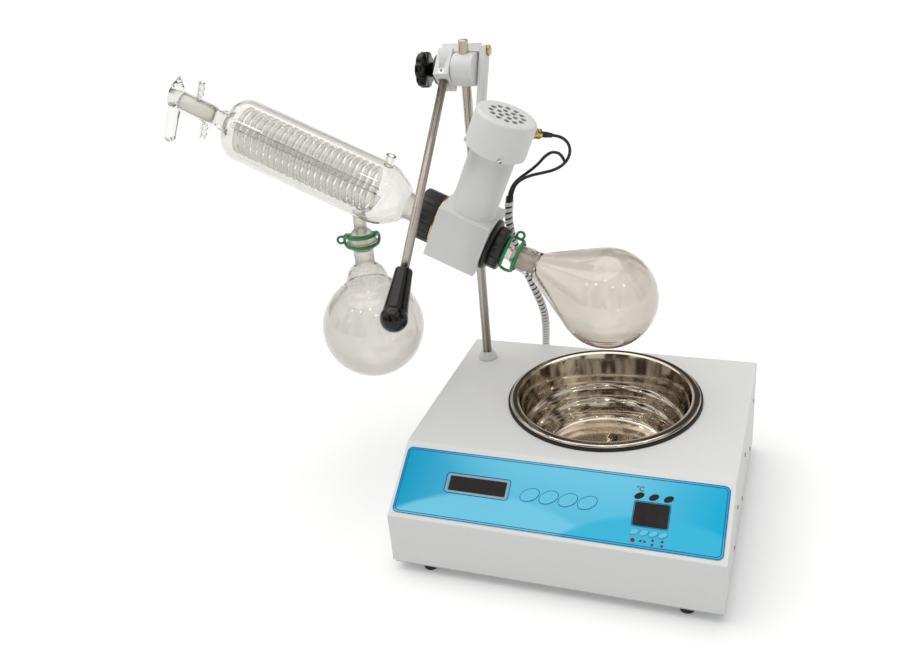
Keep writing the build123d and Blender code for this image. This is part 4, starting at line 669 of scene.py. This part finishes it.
def rail_loop(radius, low, high, half_angle, wide=2.5, deep=1.9):
    """A long loop of round rail, bent on a cylinder about Z."""
    middle = (low + high) / 2
    bm = bmesh.new()
    made = bmesh.ops.create_circle(bm, cap_ends=False, radius=1.0, segments=12)
    bmesh.ops.scale(bm, vec=(deep, wide, 1), verts=made["verts"])
    stand = Matrix.Rotation(-half_angle, 4, "Z") @ Matrix.Translation((radius, 0, high)) @ UPRIGHT
    bmesh.ops.transform(bm, matrix=stand, verts=made["verts"])
    ring = bm.verts[:] + bm.edges[:]
    for end, sense in ((half_angle, 1), (-half_angle, -1)):
        ring = turned(bm, ring, 2 * half_angle * sense, 20)
        out = Vector((math.cos(end), math.sin(end), 0))
        ring = turned(bm, ring, -math.pi, 10, cent=out * radius + Vector((0, 0, middle)), axis=out)
    bmesh.ops.remove_doubles(bm, verts=bm.verts, dist=0.01)
    return bm


def part_ring(inner, outer, low, high, half_angle, steps=24):
    """A piece of a flat ring about Z, centred on +X."""
    bm = bmesh.new()
    section = ((inner, low), (outer, low), (outer, high), (inner, high))
    face = bm.faces.new([bm.verts.new((r, 0, z)) for r, z in section])
    bmesh.ops.rotate(bm, cent=(0, 0, 0), matrix=Matrix.Rotation(-half_angle, 3, "Z"), verts=bm.verts)
    turned(bm, [face] + face.edges[:] + face.verts[:], 2 * half_angle, steps)
    return bm


def joint_clip(radius, low, high, lip_low, lip_high, facing, half_angle=math.radians(72)):
    """A clip whose window faces a direction about Z, with its finger ring at the low angle's end."""
    bm = rail_loop(radius, low, high, half_angle)
    join(bm, part_ring(lip_low, radius, low - 1.0, low + 1.0, half_angle * 1.3))
    join(bm, part_ring(lip_high, radius, high - 1.0, high + 1.0, half_angle * 1.3))
    corners = [a * math.pi / 5 for a in range(10)]
    ring = lathe([(4.8 + 1.7 * math.cos(a), 1.7 * math.sin(a)) for a in corners], 28, closed=True)
    end = Matrix.Rotation(-half_angle - math.radians(16), 4, "Z")
    join(bm, ring, end @ Matrix.Translation((radius + 5.4, 0, (low + high) / 2)) @ UPRIGHT)
    for share in (-0.72, 0.8):
        peg = lathe([(0, high), (2.1, high), (2.1, high + 3.8), (1.5, high + 4.6), (0, high + 4.6)], 14)
        join(bm, peg, Matrix.Rotation(half_angle * share, 4, "Z") @ Matrix.Translation((radius, 0, 0)))
    bmesh.ops.rotate(bm, cent=(0, 0, 0), matrix=Matrix.Rotation(facing, 3, "Z"), verts=bm.verts)
    return bm


flask_clip = joint_clip(20.6, 60.0, 76.4, 10.4, 17.4, math.radians(-123))
receiver_clip = joint_clip(22.6, -4.9, 9.0, 20.6, 15.0, math.radians(-68))
for name, bm, body, place in (
    ("flask_clip", flask_clip, "rotor", ROTOR), ("receiver_clip", receiver_clip, "receiver", BALL),
):
    finish(name + "_moulded", bm, body, [acetal], place, [name], sharp=math.radians(45))

# %% [markdown]
# ## The cables
# Each cable is a smooth NURBS line through the same points as its solid. The line's order
# and end points are set after the points are added, or it stays a chain of straight runs.

# %% The routes
def in_frame(points):
    """Points measured from the base's left front corner, in metres in the frame."""
    return [Vector((BASE_LEFT + x, BASE_FRONT + y, z)) * MM for x, y, z in points]


def line(name, points, depth=0.0):
    """A curve with these points as NURBS control points."""
    data = bpy.data.curves.new(name, "CURVE")
    data.dimensions = "3D"
    spline = data.splines.new("NURBS")
    spline.points.add(len(points) - 1)
    for point, place in zip(spline.points, points):
        point.co = (*place, 1.0)
    spline.order_u = 3
    spline.use_endpoint_u = True
    data.resolution_u = 12
    data.bevel_depth = depth
    data.bevel_resolution = 4
    data.use_fill_caps = True
    return linked(name, data)


def walked(points):
    """The points of the smooth line through a route, read from its curve with no bevel."""
    guide = line("guide", points)
    bpy.context.view_layer.update()
    mesh = bpy.data.meshes.new_from_object(guide)
    places = [v.co.copy() for v in mesh.vertices]
    data = guide.data
    bpy.data.objects.remove(guide)
    bpy.data.curves.remove(data)
    return places


def length_of(places):
    """The length of a chain of points."""
    return sum((b - a).length for a, b in zip(places, places[1:]))


GLAND_HEIGHT, SLEEVE_END = 148.0, 74.7
gland_way = (along + Y).normalized()


def from_gland(reach):
    """A point this far out along the cable gland on the motor's cap, in metres."""
    return (HEAD_CENTRE + motor_up * GLAND_HEIGHT + gland_way * reach) * MM


cable_route = [from_gland(SLEEVE_END + 0.3), from_gland(SLEEVE_END + 14.0)] + in_frame([
    (167.5, 312.5, 463.5), (168.5, 312.0, 449.5), (161.0, 308.5, 437.5), (148.5, 304.0, 431.0),
    (133.0, 300.0, 428.0), (117.0, 297.0, 425.0), (103.0, 296.0, 418.0), (94.0, 298.5, 407.0),
    (90.7, 301.2, 395.4),
])
loop_route = in_frame([
    (86.5, 303.1, 395.8), (90.0, 305.0, 407.0), (100.0, 306.5, 417.5), (114.0, 307.5, 427.0),
    (127.0, 308.0, 437.5), (136.5, 308.5, 448.5), (147.0, 308.5, 454.5), (159.0, 307.0, 451.0),
    (164.0, 303.5, 440.0),
])
harness_route = in_frame([
    (88.0, 301.0, 394.0), (84.0, 302.0, 375.0), (84.0, 304.0, 348.0), (90.0, 309.0, 316.0),
    (100.0, 317.0, 281.0), (109.0, 330.0, 244.0), (113.0, 348.0, 209.0), (109.0, 369.0, 178.0),
    (102.0, 391.0, 149.0), (96.0, 410.0, 123.0), (92.0, 420.0, 100.0), (90.0, 414.0, 84.0),
    (90.0, 400.0, 76.0), (90.0, 385.3, 76.0),
])
print("routes of", len(cable_route), len(loop_route), "and", len(harness_route), "points")

# %% [markdown]
# The motor's cable is limp. It leaves the gland, swings out and drops into the harness, and
# a second strand is folded back beside it. Both are round sweeps along their routes.

# %% The two black strands at the motor
for name, route in (("motor_lead", cable_route), ("motor_lead_fold", loop_route)):
    strand = line(name, route, 2.0 * MM)
    strand.data.materials.append(cable_pvc)
    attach(strand, "yoke")
    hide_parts("motor_cable")
    length_of(walked(route))
    print(name, "swept along", len(route), "points")

# %% [markdown]
# The harness is black cable in a white spiral wrap. The wrap is a flat strip wound into a
# helix: a spin that climbs as it turns makes it straight, and the frame of the smooth line
# bends it. It is cut at one point into an upper and a lower part. The cut lies so high that
# it stays above the base's top when the clamp is at its lowest.

# %% The harness
places = walked(harness_route)
print("harness", round(length_of(places), 4), "m along its line")


def bent(bm, path, side):
    """Bends a straight thing along Z, in metres, onto a line of points, and gives its last side."""
    runs = [0.0]
    for a, b in zip(path, path[1:]):
        runs.append(runs[-1] + (b - a).length)
    tangents = []
    for index in range(len(path)):
        tangents.append((path[min(index + 1, len(path) - 1)] - path[max(index - 1, 0)]).normalized())
    sides = [(side - tangents[0] * side.dot(tangents[0])).normalized()]
    for tangent in tangents[1:]:
        sides.append((sides[-1] - tangent * sides[-1].dot(tangent)).normalized())
    for vert in bm.verts:
        low = max([index for index in range(len(runs) - 1) if runs[index] <= vert.co.z] or [0])
        high = low + 1
        share = (vert.co.z - runs[low]) / (runs[high] - runs[low])
        centre = path[low].lerp(path[high], share)
        tangent = tangents[low].lerp(tangents[high], share).normalized()
        side = sides[low].lerp(sides[high], share)
        side = (side - tangent * side.dot(tangent)).normalized()
        vert.co = centre + side * vert.co.x + tangent.cross(side) * vert.co.y
    return sides[-1]


CORE_RADIUS, WRAP_PITCH = 4.9, 8.5


def wrap(length, goes_on):
    """A strip wound into a helix about Z, in metres; whole turns let another one go on from it."""
    outer, inner, width, steps = 6.0, 4.95, 5.6, 20
    run = length / MM
    turns = math.ceil(run / WRAP_PITCH) if goes_on else (run - width) / WRAP_PITCH
    pitch = run / turns if goes_on else WRAP_PITCH
    bm = bmesh.new()
    edge = outer - 0.4
    section = ((inner, 0), (edge, 0.2), (outer, width / 2), (edge, width - 0.2), (inner, width))
    corners = [bm.verts.new((r, 0, z)) for r, z in section]
    for a, b in zip(corners, corners[1:] + corners[:1]):
        bm.edges.new((a, b))
    wound(bm, turns, pitch, steps)
    bmesh.ops.scale(bm, vec=(MM, MM, MM), verts=bm.verts)
    return bm


def core(length):
    """The bundle of cable inside the wrap, in metres."""
    run = length / MM
    rings = int(run / 3)
    side = [(CORE_RADIUS, run * index / rings) for index in range(rings + 1)]
    bm = lathe([(0, 0)] + side + [(0, run)], 20)
    bmesh.ops.scale(bm, vec=(MM, MM, MM), verts=bm.verts)
    return bm


CUT_HEIGHT, BEND_HEIGHT = 0.29, 0.13
cut = next(index for index, place in enumerate(places) if place.z < CUT_HEIGHT)
halves = {
    "upper": (places[:cut + 1], "clamp", "yoke", places[cut], places[0]),
    "lower": (places[cut:], "base", "clamp", Vector((0, 0, BEND_HEIGHT)), Vector((0, 0, places[cut].z))),
}
side = (places[1] - places[0]).orthogonal()
for which, (path, low_body, high_body, start, end) in halves.items():
    run = length_of(path)
    for layer, bm, finish_of, slot in (
        ("wrap", wrap(run, which == "upper"), polythene, "wrap_white"),
        ("core", core(run), cable_pvc, "cable_black"),
    ):
        last = bent(bm, path, side)
        name = f"harness_{which}_{layer}"
        piece = finish(name, bm, None, [finish_of], stands_for=["harness"], unit=1.0)
        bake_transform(piece)
    side = last

# %% [markdown]
# ## The panel
# The panel is a printed film. Its ground is cyan with broad lighter and darker swooshes,
# which are circles in the panel's plane: a point is inside one when its distance from the
# circle's centre is less than the radius. The fine lines are thin pieces on the film.

# %% The film's print
film, tree, shader = new_finish("printed_film")
where = add(tree, "ShaderNodeTexCoord").outputs["Object"]
flat = add(
    tree, "ShaderNodeMapping", {"Vector": where}, vector_type="TEXTURE",
    Rotation=PANEL.to_euler(), Location=PANEL.translation,
).outputs[0]
parts = add(tree, "ShaderNodeSeparateXYZ", {"Vector": flat})
flat = add(tree, "ShaderNodeCombineXYZ", {"X": parts.outputs["X"], "Y": parts.outputs["Y"]}).outputs[0]
ground = add(tree, "ShaderNodeRGB")
ground.outputs[0].default_value = colour("#5BC4E6")
print_colour = ground.outputs[0]
swooshes = [
    ((-60, 60), 130, 60, "#00A2CF"), ((130, -190), 235, 3, "#74CFEC"), ((215, 300), 235, 40, "#78D2EE"),
    ((470, 40), 130, 50, "#12B2DC"), ((330, -150), 195, 3, "#3BBCE2"),
]
for (x, y), radius, softness, code in swooshes:
    reach = add(tree, "ShaderNodeVectorMath", {0: flat}, operation="DISTANCE")
    reach.inputs[1].default_value = (x * MM, y * MM, 0)
    soft = add(
        tree, "ShaderNodeMapRange", {"Value": reach.outputs["Value"]},
        From_Min=(radius + softness) * MM, From_Max=(radius - softness) * MM,
    )
    mix = add(tree, "ShaderNodeMix", {"Factor": soft.outputs[0]}, data_type="RGBA")
    tree.links.new(print_colour, mix.inputs[6])
    mix.inputs[7].default_value = colour(code)
    print_colour = mix.outputs[2]
tree.links.new(print_colour, shader.inputs["Base Color"])
put(shader, Roughness=0.3, Specular_IOR_Level=0.08)
mesh = nodes["control_panel"].data
mesh.materials.clear()
mesh.materials.append(film)
print("film printed with", len(swooshes), "swooshes")

# %% [markdown]
# Print is a coat of ink. Each shape is drawn flat in the panel's plane and made a few
# hundredths of a millimetre thick, so that it lies on the film and doesn't flicker in it.

# %% Flat printed shapes
FILM = 0.8


def rounded(left, bottom, width, height, corner):
    """A flat rounded rectangle in the panel's plane."""
    bm = bmesh.new()
    bmesh.ops.create_grid(bm, x_segments=1, y_segments=1, size=0.5)
    bmesh.ops.scale(bm, vec=(width, height, 1), verts=bm.verts)
    bmesh.ops.translate(bm, vec=(left + width / 2, bottom + height / 2, 0), verts=bm.verts)
    bmesh.ops.bevel(
        bm, geom=bm.verts[:], offset=corner, segments=8, profile=0.5, affect="VERTICES", material=-1,
    )
    return bm


def oval(x, y, major, minor, turn=28.0, segments=48):
    """A flat oval in the panel's plane."""
    bm = bmesh.new()
    bmesh.ops.create_circle(bm, cap_ends=True, radius=1.0, segments=segments)
    bmesh.ops.scale(bm, vec=(major, minor, 1), verts=bm.verts)
    bmesh.ops.rotate(bm, cent=(0, 0, 0), matrix=Matrix.Rotation(math.radians(turn), 3, "Z"), verts=bm.verts)
    bmesh.ops.translate(bm, vec=(x, y, 0), verts=bm.verts)
    return bm


def outline(bm, width):
    """Keeps only a band of this width along the edge of a flat shape."""
    kept = bmesh.ops.inset_region(
        bm, faces=bm.faces[:], thickness=width, use_even_offset=True, use_boundary=True,
    )["faces"]
    inner = [face for face in bm.faces if face not in kept]
    bmesh.ops.delete(bm, geom=inner, context="FACES")
    return bm


def thick(bm, low, high):
    """Gives a flat shape its thickness between two heights over the shell."""
    bmesh.ops.translate(bm, vec=(0, 0, low), verts=bm.verts)
    made = bmesh.ops.extrude_face_region(bm, geom=bm.faces[:])["geom"]
    lifted = [item for item in made if isinstance(item, bmesh.types.BMVert)]
    bmesh.ops.translate(bm, vec=(0, 0, high - low), verts=lifted)
    return bm


def printed(name, shapes, ink, height=0.05, body="base"):
    """Thin printed shapes on top of the film."""
    whole = bmesh.new()
    for shape in shapes:
        join(whole, thick(shape, FILM, FILM + height))
    return finish(name, whole, body, [ink], PANEL)


PANEL_WIDTH, PANEL_HEIGHT = 397.7, 87.79
printed("panel_border", [
    outline(rounded(4.3, 6.3, PANEL_WIDTH - 0.6, PANEL_HEIGHT - 0.6, 6.8), 0.8),
    outline(rounded(6.6, 8.6, PANEL_WIDTH - 5.2, PANEL_HEIGHT - 5.2, 5.6), 0.9),
], print_ink)
printed("lcd_border", [outline(rounded(63.4, 39.6, 83.0, 27.2, 4.4), 1.1)], print_ink)
printed("lcd_bezel", [outline(rounded(65.4, 41.4, 79.2, 23.6, 3.2), 2.2)], bezel_film)
printed("display_border", [outline(rounded(295.6, 31.2, 42.8, 31.4, 2.4), 0.9)], print_ink)

# %% [markdown]
# ## Windows and keys
# The windows are smoked film, almost black. Each key is a low dome with a printed outline,
# and both ride on the key's own body, so they travel together when the key is pressed.

# %% Windows, lenses and keys
LCD, DISPLAY = (69.0, 43.0, 72.5, 20.0), (297.0, 32.6, 40.0, 28.6)
windows = bmesh.new()
for window in (LCD, DISPLAY):
    join(windows, thick(rounded(*window, 1.6), -1.0, 0.7))
for index in range(3):
    join(windows, thick(oval(300.4 + 17.0 * index, 68.5, 6.0, 3.6), -1.0, 1.0))
finish("panel_windows_smoked", windows, "base", [smoked], PANEL, ["panel_windows"])

keys = [(f"drive_key_{index + 1}", 171.7 + 23.4 * index, 51.1, 12.4, 7.8) for index in range(4)]
keys += [(f"heater_key_{index + 1}", 301.0 + 10.7 * index, 24.8, 5.6, 3.3) for index in range(4)]
KEY_LOW, KEY_TOP = 0.6, 1.2
key_film = grained("embossed_film", "#60C6E6", "#68CBE9", 9.0, 0.03, 0.3, 0.03, Specular_IOR_Level=0.15)
for name, x, y, major, minor in keys:
    cap = thick(oval(x, y, major, minor), KEY_LOW, KEY_TOP)
    top = [face for face in cap.faces if face.calc_center_median().z > KEY_TOP - 0.01]
    bmesh.ops.inset_region(cap, faces=top, thickness=minor * 0.16, depth=0.12)
    rim = thick(outline(oval(x, y, major, minor), 1.3 if major > 8 else 1.1), KEY_TOP, KEY_TOP + 0.06)
    for face in rim.faces:
        face.material_index = 1
    join(cap, rim)
    finish(name + "_domed", cap, name + "_body", [key_film, print_ink], PANEL, [name])

# %% [markdown]
# Dark red marks are printed under the small keys, and a temperature mark over the lenses:
# plain triangles, a dot and two letters, made like the other print.

# %% Symbols under the small keys and the degree mark
def triangle(x, y, size, turn):
    """A flat triangle that points up until it is turned."""
    bm = bmesh.new()
    bmesh.ops.create_circle(bm, cap_ends=True, radius=size, segments=3)
    bmesh.ops.rotate(bm, cent=(0, 0, 0), matrix=Matrix.Rotation(math.radians(turn), 3, "Z"), verts=bm.verts)
    bmesh.ops.translate(bm, vec=(x, y, 0), verts=bm.verts)
    return bm


marks = [oval(300.4, 14.8, 2.7, 2.7, segments=24)]
marks += [triangle(309.4, 14.8, 2.5, 90), triangle(314.0, 14.8, 2.5, -90)]
for x in (322.8, 333.6):
    marks += [triangle(x, 17.4, 2.6, 0), triangle(x, 12.2, 2.6, 180)]
printed("key_symbols", marks, symbol_ink)

text = bpy.data.curves.new("degree", "FONT")
text.body = "°C"
text.size = 8.6
text.extrude = 0.02
text.offset = 0.2
text.resolution_u = 3
label = linked("degree", text)
bpy.context.view_layer.update()
flat_text = bpy.data.meshes.new_from_object(label)
bpy.data.objects.remove(label)
bm = bmesh.new()
bm.from_mesh(flat_text)
bpy.data.meshes.remove(flat_text)
bmesh.ops.translate(bm, vec=(295.6, 74.2, FILM + 0.03), verts=bm.verts)
finish("degree_mark", bm, "base", [symbol_ink], PANEL)

# %% [markdown]
# ## The gland on the motor's cap
# A brass hexagon and nut, and the black sleeve that keeps the cable from kinking there.

# %% The cable gland
GLAND = axes(HEAD_CENTRE + motor_up * GLAND_HEIGHT, motor_up, gland_way.cross(motor_up), gland_way)
gland = bmesh.new()
bmesh.ops.create_cone(gland, cap_ends=True, segments=6, radius1=7.0, radius2=7.0, depth=8.0)
bmesh.ops.translate(gland, vec=(0, 0, 43.7), verts=gland.verts)
bmesh.ops.bevel(
    gland, geom=gland.edges[:], offset=0.35, segments=2, profile=0.5, affect="EDGES", material=-1,
)
nut = [
    (0, 47.5), (6.4, 47.5), (6.6, 48.0), (6.6, 51.4), (6.2, 51.8), (6.2, 52.4),
    (6.6, 52.8), (6.6, 56.2), (6.0, 56.7), (0, 56.7),
]
join(gland, lathe(nut, 40))
join(gland, lathe([(0, 31.6), (3.4, 31.6), (3.4, 40.0), (0, 40.0)], 24))
finish("cable_gland_turned", gland, "yoke", [brass], GLAND, ["cable_gland"])
sleeve = lathe([
    (0, 56.6), (3.8, 56.6), (3.8, 66.0), (3.6, 66.6), (3.0, 74.2), (2.6, SLEEVE_END), (0, SLEEVE_END),
], 28)
finish("cable_sleeve", sleeve, "yoke", [rubber], GLAND, ["cable_gland"])

# %% [markdown]
# ## Floor, light and background
# The photograph has a plain white ground and soft light from all sides, a little stronger
# from above and the left. The floor is pale, and it and the world show as white to the
# camera and in reflections, while a lower even light falls on the object itself.

# %% The floor
floor_finish, tree, shader = new_finish("pale_floor")
put(shader, Base_Color=colour("#F4F4F3"), Roughness=0.9, Specular_IOR_Level=0.1)
bm = bmesh.new()
bmesh.ops.create_grid(bm, x_segments=1, y_segments=1, size=20.0)
mesh = bpy.data.meshes.new("floor")
bm.to_mesh(mesh)
bm.free()
mesh.materials.append(floor_finish)
floor = linked("floor", mesh)

path = add(tree, "ShaderNodeLightPath")
seen = path.outputs["Is Camera Ray"]
for kind in ("Is Glossy Ray", "Is Transmission Ray"):
    seen = add(tree, "ShaderNodeMath", {0: seen, 1: path.outputs[kind]}, operation="MAXIMUM").outputs[0]
glow = add(tree, "ShaderNodeMath", {0: seen}, operation="MULTIPLY")
FLOOR_GLOW = 0.16
glow.inputs[1].default_value = FLOOR_GLOW
put(shader, Emission_Color=(1, 1, 1, 1))
tree.links.new(glow.outputs[0], shader.inputs["Emission Strength"])
print("floor laid, glowing", FLOOR_GLOW, "for eye, mirror and glass")

# %% [markdown]
# Glass and steel show what stands around them, so mirrored and refracted rays see bright
# and dim bands, as in a room, while all other rays get one soft, slightly cool light.

# %% The world
world = bpy.data.worlds.new("studio")
bpy.context.scene.world = world
world.use_nodes = True
tree = world.node_tree
tree.nodes.clear()
path = add(tree, "ShaderNodeLightPath")
soft = add(tree, "ShaderNodeBackground", Color=(0.93, 0.965, 1.0, 1), Strength=0.44)
white = add(tree, "ShaderNodeBackground", Color=(1, 1, 1, 1), Strength=1.0)
around = add(tree, "ShaderNodeTexCoord").outputs["Generated"]
flat = add(tree, "ShaderNodeMapping", {"Vector": around}, Scale=(1, 1, 0.12)).outputs[0]
bands = add(tree, "ShaderNodeTexNoise", {"Vector": flat}, Scale=2.6, Detail=2.0)
ramp = add(tree, "ShaderNodeValToRGB", {"Fac": bands.outputs["Fac"]})
DIM_BAND, BRIGHT_BAND = (0.10, 0.085, 0.07, 1), (1.0, 0.99, 0.97, 1)
for stop, place, shade in zip(ramp.color_ramp.elements, (0.42, 0.55), (DIM_BAND, BRIGHT_BAND)):
    stop.position = place
    stop.color = shade
studio = add(tree, "ShaderNodeBackground", {"Color": ramp.outputs["Color"]}, Strength=0.9)
seen = add(
    tree, "ShaderNodeMath", {0: path.outputs["Is Glossy Ray"], 1: path.outputs["Is Transmission Ray"]},
    operation="MAXIMUM",
)
mirror = add(tree, "ShaderNodeMixShader", {0: seen.outputs[0], 1: soft.outputs[0], 2: studio.outputs[0]})
eye = path.outputs["Is Camera Ray"]
mixed = add(tree, "ShaderNodeMixShader", {0: eye, 1: mirror.outputs[0], 2: white.outputs[0]})
add(tree, "ShaderNodeOutputWorld", {"Surface": mixed.outputs[0]})
print("world of bands for mirrors, and of even light for the rest")

# %% [markdown]
# Two wide suns give the soft shadows under the object. Six small lamps overhead only add
# the bright points that the photograph shows on glass, steel and the black grip.

# %% The lamps
MIDDLE = Vector((0.05, 0.0, 0.25))


def aimed(name, kind, place, power, tint=(1, 1, 1), **shape):
    """A lamp of any kind that looks at the middle of the object."""
    data = bpy.data.lights.new(name, kind)
    data.energy = power
    data.color = tint
    for key, value in shape.items():
        setattr(data, key, value)
    lamp = linked(name, data)
    lamp.location = place
    lamp.rotation_euler = (Vector(place) - MIDDLE).to_track_quat("Z", "Y").to_euler()


aimed("sky_above", "SUN", (-0.5, 0.4, 3.0), 1.5, (1.0, 0.975, 0.94), angle=math.radians(70))
aimed("sky_left", "SUN", (-1.8, -1.0, 2.6), 0.36, (1.0, 0.985, 0.96), angle=math.radians(60))
ceiling = (
    (-1.2, -1.0, 1.9), (-0.5, -1.3, 2.2), (0.3, -1.0, 2.4), (1.0, -1.3, 2.0), (1.6, -0.6, 1.7),
    (-0.9, 0.3, 2.2),
)
for index, place in enumerate(ceiling):
    aimed(f"ceiling_lamp_{index + 1}", "AREA", place, 0.6, size=0.13)

scene = bpy.context.scene
scene.view_settings.view_transform = "Standard"
